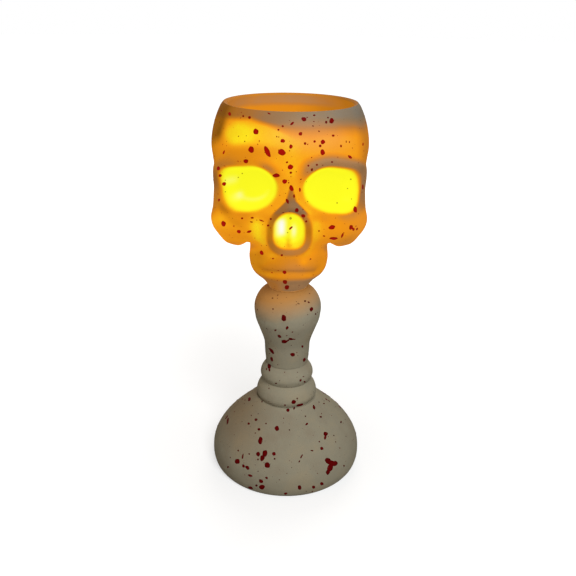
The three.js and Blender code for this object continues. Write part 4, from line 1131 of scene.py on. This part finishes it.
def paintSkull(mesh, points, turn, outside):
    x, y, z = points.T
    level = faceLevel(y, z)
    front = smooth(-y / face["frontReach"])
    across, up = np.abs(x) - face["eyeSpread"], level - face["eyeLevel"]
    noseAcross, noseUp = x + 0.5, level - face["noseLevel"]  # the light of the nose leans to the left
    left, right = (aroundOpening(name, across, up) for name in ("leftEyeWider", "rightEyeWider"))
    eye = eyeDistance(x, level) - np.where(x < 0, left, right)
    nose = noseDistance(noseAcross, level) - aroundOpening("noseWider", noseAcross, noseUp)
    degrees = np.degrees(turn)
    skin = SimpleNamespace(
        x=x, z=z, level=level, front=front, turn=turn, degrees=degrees, facing=np.abs(degrees) < 110,
        outside=outside, shade=np.ones(len(x)), eyeAcross=across, eyeUp=up, noseAcross=noseAcross,
        noseUp=noseUp, eye=np.where(front > 0, eye, 9), nose=np.where(front > 0, nose, 9),
    )
    for paintZone in (paintSides, paintMarks, paintEyeBand, paintJaw, paintNoseRing, paintRim, paintLining,
                      paintOpenings):
        paintZone(skin)
    haze = glowPattern["hazeShare"] * markWeight(skin, *glowPattern["haze"]) * skin.facing
    painted = {"haze": haze * outside, "glow": np.clip(skin.glow, 0, 1),
               "shade": np.clip(skin.shade, 0.2, 1.15), "bare": skin.bare, "hot": skin.hot,
               "outside": outside}
    for name, values in painted.items():
        setAttribute(mesh, name, values)


skull = makeSkull()
print("skull shaped and painted")

# Red splatter: the drops that the photograph shows, by pixel, as (across, down, width, height, tilt)
seenDrops = [
    (255.9, 131.6, 5.5, 5.8, 10), (251.2, 149.6, 5.6, 6.8, 20), (267.3, 151.6, 4.8, 12, 28),
    (281.8, 152.3, 8, 6.2, -15), (282.7, 140.9, 4.5, 4, 0), (290.9, 146.6, 3.6, 4.2, 0),
    (300.5, 133.8, 3.7, 3.7, 0), (303.9, 119.2, 5, 4.4, 0), (331.6, 120.8, 5, 5.2, 0),
    (326.2, 122.2, 2.5, 2.8, 0), (322.9, 142, 4.7, 4.4, 0), (320.2, 145.9, 2.7, 3, 0),
    (322.6, 152.3, 4.6, 5.8, 20), (314.6, 141.5, 2.7, 2.5, 0), (305.1, 143.5, 2.5, 3, 0),
    (290.4, 167, 5.3, 5.3, 0), (290.8, 172.7, 2.7, 2.4, 0), (284.7, 181.5, 4.7, 4.7, 0),
    (276.2, 175.5, 7, 4.2, 0), (291.4, 188.2, 4.4, 6, 25), (245.9, 161.2, 4.7, 4.4, 0),
    (249.5, 117.5, 3, 3, 0), (229.6, 113.9, 2.8, 4, 25), (218.4, 168.4, 3.5, 4, 0),
    (220.2, 175.6, 3.5, 3, 0), (224.1, 183.9, 4, 4, -20), (223.5, 223.7, 4.4, 6, 15),
    (238.9, 231.6, 4, 3.6, 0), (249.2, 231.6, 5, 2.4, 18), (261.6, 252.8, 3.6, 4.8, 20),
    (284.5, 272.2, 4, 3.6, 0), (285, 282, 4.6, 4.2, 0), (286.9, 287.3, 5, 4.2, 20),
    (331.9, 227.3, 7, 4.2, 8), (333.6, 238.4, 8, 3, 2), (351, 227.3, 3.6, 5.2, -25),
    (355.2, 209.5, 3.8, 6.5, 15), (350, 157, 4.6, 2.6, -38), (296.8, 210.2, 3.8, 4.4, 20),
    (303.2, 215.9, 4.5, 3.4, -28), (342.3, 235.4, 2, 5, -25), (333.2, 135.6, 2.7, 2.5, 0),
    (292.1, 123.5, 4.4, 2.4, 42), (282.7, 126.2, 2.3, 2.2, 0), (278.4, 129.8, 2, 2, 0),
    (299.9, 189.8, 2, 4, 0), (287.4, 201.2, 2.8, 5.2, 30), (294.1, 196.1, 2, 3.5, 0),
    (290.8, 228, 1.9, 4.8, -48), (308.4, 165.7, 2, 2, 0), (316.9, 164.8, 2.3, 2, 0),
    (311.9, 169.7, 2.5, 3, 0), (243.2, 116.1, 1.9, 2.2, 0), (287, 162.3, 2.4, 2, 35),
    (223.8, 152.3, 1.7, 4.2, -20), (242.1, 218.3, 2.4, 2, 0), (252.2, 217.8, 3.4, 1.8, 0),
    (251.4, 222, 3, 1.4, -10), (261.5, 220.6, 5, 1.4, -20), (268.1, 225.5, 2.4, 2.2, 30),
    (270.8, 219, 2.2, 2.2, 0), (281.8, 255.2, 2.4, 2.2, 0), (273, 258.6, 2, 1.6, 0),
    (353.4, 229.2, 2.4, 3.4, 0), (306.2, 221.4, 2.4, 2, 20), (319, 231, 1.8, 1.6, 0),
    (324, 236, 2.6, 1.4, -10), (269, 113.5, 3.4, 1.4, -25), (328, 117.6, 1.8, 1.6, 0),
    (341, 146, 1.9, 3, 0), (349.4, 142, 1, 2.4, 0), (346.2, 141.6, 1, 2.4, 0), (363, 144.2, 1.2, 3.4, 0),
    (362.8, 187, 1.8, 5, 0), (357, 229, 1.6, 3, -25), (219, 200, 2, 3.2, -15), (314.3, 115.2, 2.4, 1.8, 0),
    (332, 162, 2.2, 1.8, 0), (283.8, 318.1, 5, 6.5, 10), (311.4, 309.2, 3.5, 4.5, -20),
    (287.1, 327.9, 2.4, 4, -20), (279.4, 336.3, 4.4, 2.4, -40), (284.3, 341.6, 5.8, 3.6, 5),
    (288, 340.4, 4.6, 1.7, 35), (290.9, 339, 4.6, 2.3, -8), (293.9, 339.3, 3.2, 0.9, -5),
    (271.7, 351, 2.8, 7.2, 40), (292.6, 354.6, 5, 3.5, 6), (271.7, 359.2, 2.5, 5, 15),
    (304.3, 359.8, 2.4, 4.5, -25), (269.2, 366.2, 3.6, 5, 10), (269.4, 369.6, 1.8, 4, 0),
    (266.6, 369, 1.3, 2.4, 0), (305, 301.1, 1.8, 2.2, 0), (308.7, 302.3, 2.6, 1.5, -40),
    (275.5, 330.2, 2.4, 1.8, 20), (302.4, 346.5, 2, 2.8, -15), (300.6, 380.2, 1.9, 3.2, -30),
    (304.6, 381.8, 2.1, 2, 0), (303.4, 376.6, 1.6, 1.2, 0), (273, 309, 1.6, 1.6, 0),
    (315.6, 314, 1.3, 2, 0), (276, 383.3, 2.6, 1.2, 0), (293.7, 402, 4.8, 4, 10),
    (299.8, 405, 7.4, 2.6, 18), (287.9, 410.1, 3, 3.8, -25), (294.2, 408.2, 1.8, 3, -20),
    (314, 407.2, 2.2, 5, 18), (249.4, 399.1, 2.6, 4.2, -25), (256, 419.6, 2.9, 2.7, 0),
    (259, 429.3, 3, 2.8, 0), (276.9, 428.4, 4.2, 5.4, 30), (260.4, 440.5, 4.5, 7.5, 0),
    (325.6, 433.9, 4.2, 4.6, 0), (325.2, 437.4, 2.4, 4.6, -8), (321.8, 448.4, 3.3, 3.3, 0),
    (328, 460.8, 7, 5.4, -25), (331.8, 463.2, 8, 5.6, -10), (334.5, 463.5, 6.2, 5.6, 20),
    (330, 468, 5.4, 9, -22), (328, 472, 4.2, 5.4, -24), (258.1, 454.1, 4, 4.6, 0), (258, 459.4, 1.8, 2, 0),
    (264.9, 453.4, 4.8, 7.4, -12), (262.4, 458, 4.4, 6.4, -30), (273.9, 453.8, 4, 3.6, 0),
    (274.6, 458.8, 2, 1.8, 0), (267.3, 465.1, 5.4, 6, 0), (237.3, 461.4, 5, 5.4, 10),
    (243.5, 466, 2.6, 3.6, 20), (247.4, 467.6, 4.6, 3.4, -38), (250.2, 475.6, 4.8, 2.4, -22),
    (261, 481.2, 5, 3.4, -30), (261.9, 487.1, 6, 4.6, 0), (266.6, 477.9, 3, 2.2, -20),
    (299.6, 487.5, 3.6, 4.8, 0), (313.6, 487.1, 3.5, 3, -20), (321.8, 483.7, 3.4, 3.6, -30),
    (250.5, 487.8, 5, 2.6, -25), (285.7, 493.6, 3.6, 2.2, 10), (242.7, 456.3, 1.8, 5, -12),
    (227.7, 421, 1.8, 7, -8), (256.5, 485.5, 2.4, 2.2, 0), (248.7, 423.6, 2.3, 2.3, 0),
    (266, 423.5, 1.6, 1.6, 0), (262, 401.5, 1.2, 2.2, 0), (306.8, 424, 3.4, 1.8, 38),
    (341, 422, 1.6, 2.6, 0), (320.8, 416.8, 2.6, 1.8, -10), (301.5, 456.4, 1.5, 4.4, -25),
    (299.3, 461.4, 1.4, 2.4, -15), (312, 450.6, 3, 1.4, -10), (319.4, 441.6, 1.6, 1.6, 0),
    (238.2, 450.6, 1.7, 1.8, 0), (249.2, 454, 1.6, 1.6, 0), (324, 403.5, 1.6, 1.4, 0),
    (228, 467, 1.8, 2.4, 0), (344, 465.8, 1.3, 2.2, 0), (255.4, 433, 1.4, 1.3, 0),
    (297.2, 398.4, 1.6, 1.4, 0), (285, 405.1, 2.2, 1.6, 0),
]
# Fine drops on the glass of the eyes, washed out by the light behind them, as (across, down, size)
paleDrops = [
    (242.3, 173.5, 1.5), (238.3, 177.4, 1.4), (225.3, 180.2, 1.3), (225.3, 191.8, 1.4), (350.8, 179.3, 1.7),
    (347.5, 188.5, 1.3), (351.5, 199, 1.2), (337.1, 202.9, 1.6), (290.6, 218.3, 2.6), (287.6, 232.6, 1.3),
]
splatter = {
    "seed": 7, "thickness": 0.16, "thicknessShare": 0.22, "sink": 0.12,
    "sides": 18, "fineSides": 10, "fineSize": 0.9,
    "dropRings": [(0.5, 0.95), (0.8, 0.75), (0.95, 0.35), (1.02, -0.2)],  # (reach, rise) shares, downwards
    "hidden": ((62, 126, 226), (22, 72, 119), (40, 13, 44)),  # count and heights on skull, stem and base
    "smallest": 0.5, "largest": 1.9, "rarity": 1.8,  # a higher rarity makes large drops rarer
    "stretch": (1, 1.9), "tilts": (-40, 40), "smallWobble": 0.08, "bigWobble": 0.13, "hiddenWobble": 0.14,
    "smallTones": (0.25, 0.7), "bigTones": (0.55, 1.0), "hiddenTones": (0.45, 1.0),
    "paleToneVeil": (0.5, 0.8), "toneFrom": 3, "wobbleFrom": 2.5,  # a drop is big from so many pixels on
    # rays for the hidden drops start this far out or off the surface, and a drop spans no larger jump
    "startReach": 200, "lift": 3, "jump": 9,
    "frontDegrees": 88,  # the drops that the photograph shows lie nearer the front than this
    "speckDensity": 26000.0, "speckSmallest": 0.16, "speckLargest": 0.52, "speckSeed": 11,
    "speckRarity": 2.2, "speckFlatness": 0.3, "speckNarrowest": 0.55,
    # specks keep off the lip, the sockets inside the pedestal, its underside, its foot and its widest ring
    "rimMargin": 1.5, "insideReach": 11.5, "lowestFacing": -0.97, "footMargin": 1.2, "edgeMargin": 0.25,
}


def gatherSkins(pieces):
    # the points and faces of several pieces as one pair of lists
    points, faces = [], []
    for piece in pieces:
        start = len(points)
        points.extend(vertex.co.copy() for vertex in piece.data.vertices)
        faces.extend([i + start for i in face.vertices] for face in piece.data.polygons)
    return points, faces


def blobEdge(chance, wobble):
    # radius of an irregular round outline at an angle
    lobes = [(k, chance.uniform(0.4, 1) * wobble / k ** 0.7, chance.uniform(0, 2 * math.pi))
             for k in (2, 3, 4, 5)]
    return lambda angle: 1 + sum(size * math.sin(k * angle + phase) for k, size, phase in lobes)


def addDrop(points, faces, land, edge, size):
    # a closed lens of paint that lies on the surface; land(a, b) gives the place and normal there
    sides = splatter["sides"] if size > splatter["fineSize"] else splatter["fineSides"]
    thick = min(splatter["thickness"], splatter["thicknessShare"] * size) * mm
    rings = splatter["dropRings"]
    start = len(points)
    centre, normal = land(0, 0)
    points.append(centre + normal * thick)
    for reach, rise in rings:
        for side in range(sides):
            angle = 2 * math.pi * side / sides
            spot, out = land(*(reach * edge(angle) * part(angle) for part in (math.cos, math.sin)))
            points.append(spot + out * thick * rise)
    points.append(centre - normal * splatter["sink"] * mm)
    foot = len(points) - 1
    for side in range(sides):
        after = (side + 1) % sides
        faces.append((start, start + 1 + side, start + 1 + after))
        for ring in range(len(rings) - 1):
            low, high = start + 1 + ring * sides, start + 1 + (ring + 1) * sides
            faces.append((low + side, high + side, high + after, low + after))
        last = start + 1 + (len(rings) - 1) * sides
        faces.append((last + side, foot, last + after))
    return len(points) - start


def lightBehind(glow):
    # how much light reaches paint that lies on the skull where it glows this much
    return 0.35 + 0.65 * glow


def tilted(a, b, degrees):
    turn = math.radians(degrees)
    return a * math.cos(turn) - b * math.sin(turn), a * math.sin(turn) + b * math.cos(turn)


def makeDrops(skin):
    chance = random.Random(splatter["seed"])
    points, faces, tones, veils, lights = [], [], [], [], []
    glows = readAttribute(skull.data, "glow")
    place = view[0]

    def bySight(across, down, width, height, tilt):
        start = skin.ray_cast(place, pixelRay(view, across, down))
        if start[0] is None:
            return None
        away = (start[0] - place).length

        def land(a, b):
            dx, dy = tilted(a * width / 2, b * height / 2, tilt)
            ray = pixelRay(view, across + dx, down - dy)
            hit, normal, _, _ = skin.ray_cast(place, ray)
            if hit is None or (hit - start[0]).length > splatter["jump"] * mm:
                hit, normal, _, _ = skin.find_nearest(place + ray * away)
            return hit, normal
        return land, away * max(width, height) / 2 / cameraPlace["focalPixels"] / mm

    def byTurn(degrees, height, width, length, tilt):
        turn = math.radians(degrees)
        out = Vector((math.sin(turn), -math.cos(turn), 0))
        start = out * (splatter["startReach"] * mm) + Vector((0, 0, height * mm))
        hit, normal, _, _ = skin.ray_cast(start, -out)
        if hit is None:
            return None
        across = normal.cross(Vector((0, 0, 1))).normalized()
        rise = across.cross(normal) * -1

        def land(a, b):
            dx, dy = tilted(a * width, b * length, tilt)
            lift = hit + across * (dx * mm) + rise * (dy * mm) + normal * (splatter["lift"] * mm)
            spot, facing, _, _ = skin.ray_cast(lift, -normal, splatter["jump"] * mm)
            if spot is None:
                spot, facing, _, _ = skin.find_nearest(lift)
            return spot, facing
        return land, max(width, length)

    def put(made, wobble, tone, veil):
        if made is None:
            return
        land, size = made
        count = addDrop(points, faces, land, blobEdge(chance, wobble), size)
        under = skin.find_nearest(land(0, 0)[0])[2]
        onSkull = under < len(skull.data.polygons)
        ring = (count - 2) // len(splatter["dropRings"])
        for share, number in ((0.2, 1), (0.15, ring), (-0.05, ring), (-0.3, count - 1 - 2 * ring)):
            tones.extend([tone + share] * number)
        veils.extend([veil] * count)
        light = lightBehind(glows[skull.data.polygons[under].vertices[0]]) if onSkull else 0
        lights.extend([light] * count)

    for across, down, width, height, tilt in seenDrops:
        big = max(width, height)
        tone = chance.uniform(*splatter["bigTones" if big > splatter["toneFrom"] else "smallTones"])
        wobble = splatter["bigWobble" if big > splatter["wobbleFrom"] else "smallWobble"]
        put(bySight(across, down, width, height, tilt), wobble, tone, 0)
    for across, down, size in paleDrops:
        put(bySight(across, down, size, size, 0), splatter["smallWobble"], *splatter["paleToneVeil"])
    for count, low, high in splatter["hidden"]:
        for _ in range(count):
            degrees = chance.uniform(splatter["frontDegrees"], 360 - splatter["frontDegrees"])
            size = blend(splatter["smallest"], splatter["largest"], chance.random() ** splatter["rarity"])
            stretch = chance.uniform(*splatter["stretch"])
            put(byTurn(degrees, chance.uniform(low, high), size / stretch ** 0.5, size * stretch ** 0.5,
                       chance.uniform(*splatter["tilts"])),
                splatter["hiddenWobble"], chance.uniform(*splatter["hiddenTones"]), 0)
    drops = meshPiece("splatterDrops", points, faces, redFinish, 80)
    for name, values in (("tone", tones), ("veil", veils), ("behind", lights)):
        setAttribute(drops.data, name, values)
    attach(drops, "holder")
    print("drops", len(tones), "points")


def makeSpeckTree():
    # strews small flat drops over a skin
    tree, add, given = startTree("strewSpecks", (
        ("Skin", "Geometry"), ("Density", "Float"), ("Smallest", "Float"), ("Largest", "Float"),
        ("Seed", "Int"), ("Finish", "Material"),
    ), "Specks")
    where = add("GeometryNodeInputNamedAttribute", {"Name": "speckled"}, data_type="FLOAT")
    strewn = add("GeometryNodeDistributePointsOnFaces", {
        "Mesh": given["Skin"], "Seed": given["Seed"],
        "Density": add("Math", (given["Density"], where), operation="MULTIPLY"),
    }, None, distribute_method="RANDOM").outputs
    ball = add("GeometryNodeMeshIcoSphere", {"Radius": 1.0, "Subdivisions": 2}, "Mesh")
    flat = add("GeometryNodeTransform", {"Geometry": ball, "Scale": (1.0, 1.0, splatter["speckFlatness"])})
    size = add("FunctionNodeRandomValue", {
        "Min": (0.0, 0.0, 0.0), "Max": (1.0, 1.0, 1.0), "Seed": 3}, data_type="FLOAT_VECTOR")
    pick = add("SeparateXYZ", (size,), None).outputs
    common = add("Math", (pick["X"], splatter["speckRarity"]), operation="POWER")
    reach = add("MapRange", {"Value": common, "To Min": given["Smallest"], "To Max": given["Largest"]})
    stretch = add("MapRange", {"Value": pick["Y"], "To Min": splatter["speckNarrowest"], "To Max": 1.0})
    narrow = add("Math", (reach, stretch), operation="MULTIPLY")
    spin = add("FunctionNodeRandomValue", {
        "Min": (0.0, 0.0, 0.0), "Max": (0.0, 0.0, 2 * math.pi), "Seed": 5}, data_type="FLOAT_VECTOR")
    placed = add("GeometryNodeInstanceOnPoints", {
        "Points": strewn["Points"], "Instance": flat,
        "Rotation": add("FunctionNodeRotateRotation", {
            "Rotation": strewn["Rotation"], "Rotate By": spin}, rotation_space="LOCAL"),
        "Scale": add("CombineXYZ", (reach, narrow, narrow)),
    })
    toned = add("GeometryNodeStoreNamedAttribute", {
        "Geometry": placed, "Name": "tone", "Value": pick["Z"]}, data_type="FLOAT", domain="INSTANCE")
    real = add("GeometryNodeRealizeInstances", (toned,))
    coated = add("GeometryNodeSetMaterial", {"Geometry": real, "Material": given["Finish"]})
    add("NodeGroupOutput", {"Specks": coated}, None)
    return tree


def speckWeights(mesh):
    # where specks may lie on a painted piece, and the light behind them; none on clear glass or hidden faces
    co, normals = (np.empty(len(mesh.vertices) * 3) for _ in range(2))
    mesh.vertices.foreach_get("co", co)
    mesh.vertex_normals.foreach_get("vector", normals)
    co, normals = co.reshape(-1, 3), normals.reshape(-1, 3)
    if "outside" in mesh.attributes:
        weight = readAttribute(mesh, "outside") * (1 - readAttribute(mesh, "bare"))
        weight *= co[:, 2] < (cup["rim"] - splatter["rimMargin"]) * mm
        return weight, lightBehind(readAttribute(mesh, "glow"))
    reach = np.hypot(co[:, 0], co[:, 1])
    outward = (normals[:, :2] * co[:, :2]).sum(axis=1)
    widest = (pedestal["baseRadius"] - splatter["edgeMargin"]) * mm
    shown = (outward > 0) & (reach > splatter["insideReach"] * mm) & (reach < widest)
    shown &= (normals[:, 2] > splatter["lowestFacing"]) & (co[:, 2] > splatter["footMargin"] * mm)
    return shown.astype(float), np.zeros(len(co))


def makeSpecks(pieces, points, faces):
    # the skins that carry specks become one bare mesh, with its weights and the light behind it
    found = [speckWeights(piece.data) for piece in pieces]
    weights, lights = (np.concatenate(parts) for parts in zip(*found))
    carrier = meshPiece("speckCarrier", points, faces, redFinish)
    setAttribute(carrier.data, "speckled", weights)
    setAttribute(carrier.data, "behind", lights)
    specks = plainMesh(carrier, "splatterSpecks", makeSpeckTree(), {
        "Density": splatter["speckDensity"], "Smallest": splatter["speckSmallest"] * mm,
        "Largest": splatter["speckLargest"] * mm, "Seed": splatter["speckSeed"], "Finish": redFinish}, 60)
    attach(specks, "holder")
    print("specks", len(specks.data.polygons), "faces")


paintedPieces = (skull, stem, collar, base)
skinPoints, skinFaces = gatherSkins(paintedPieces)
makeDrops(BVHTree.FromPolygons(skinPoints, skinFaces))
makeSpecks(paintedPieces, skinPoints, skinFaces)
print("splatter thrown")

# Tealight: the shell and the flame tip are turned again with a finer outline
tealight = {
    "radius": 19.0, "foot": 138.2, "top": 156.2, "wall": 1.2, "dishLevel": 153.9, "dishDrop": 2.3,
    "flameRadius": 4.2, "flangeFoot": 151.5, "flangeTop": 152.5, "flameHeight": 16.5,
    "bore": 2.8, "boreTop": 159.0,
    "holeGap": 0.3, "flangeReach": 1.2,
    "dish": [(0.9, 0.92), (0.74, 0.52), (0.48, 0.14), (0.24, 0)],
    "flame": [(0, 1), (0.3, 1), (0.45, 0.93), (0.6, 0.74), (0.75, 0.5), (0.88, 0.26)],
    "flamePoint": [(0.7, 1.6), (0.35, 0.5), (0, 0)],  # radius and how far under the tip
}


def makeTealight():
    t = tealight
    wall, hole, flange = t["wall"], t["flameRadius"] + t["holeGap"], t["flameRadius"] + t["flangeReach"]
    shoulder = [(t["radius"] - wall * (1 - math.cos(a)), t["top"] - wall * (1 - math.sin(a)))
                for a in np.linspace(0, math.pi / 2, 7)]
    dish = smoothRun([(t["dishLevel"] + up * t["dishDrop"], out * t["radius"]) for out, up in t["dish"]],
                     lambda level, radius: (radius, level), 18)
    under = [(radius - wall / 2, level - wall) for radius, level in dish[3:-2]]
    outline = [
        (t["radius"], t["foot"]), *shoulder, *dish, (hole, t["dishLevel"]), (hole, t["dishLevel"] - wall),
        *under[::-1], (t["radius"] - wall, t["top"] - 2 * wall), (t["radius"] - wall, t["foot"]),
        (t["radius"], t["foot"]),
    ]
    shell = turnPiece("waxLookShell", outline, waxFinish, 112)
    flame = smoothRun(t["flame"], lambda up, out: (
        out * t["flameRadius"], t["flangeTop"] + up * t["flameHeight"]), 30)
    tip, top, bore = t["flangeTop"] + t["flameHeight"], t["boreTop"], t["bore"]
    outline = [
        (0, top), (0.7 * bore, top - 0.3 * bore), (bore, top - bore), (bore, t["flangeFoot"]),
        (flange, t["flangeFoot"]), (flange, t["flangeTop"]), *flame,
        *((radius, tip - drop) for radius, drop in t["flamePoint"]),
    ]
    flameTip = turnPiece("flameTipFine", outline, flameFinish, 64)
    for piece, node, slot in ((shell, "candle_shell", "ivory_plastic"),
                              (flameTip, "flame_tip", "flame_plastic")):
        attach(piece, "tealight")
        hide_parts(node)


makeTealight()

# The solids that stay keep their shape and take a finish
carriedOver = {
    "tie_rod": threadFinish, "cup_nut": steelFinish, "cup_washer": steelFinish, "base_washer": steelFinish,
    "base_lock_washer": steelFinish, "base_nut": steelFinish, "cup_inner_gasket": rubberFinish,
    "flame_led": epoxyFinish, "candle_base": ivoryFinish, "battery_door": ivoryFinish,
    "coin_cell": nickelFinish, "contact_plus": nickelFinish, "contact_minus": nickelFinish,
    "switch_knob": blackFinish,
}
for node, finish in carriedOver.items():
    for materialSlot in cadNodes[node].material_slots:
        materialSlot.material = finish
print("tealight and fittings finished")
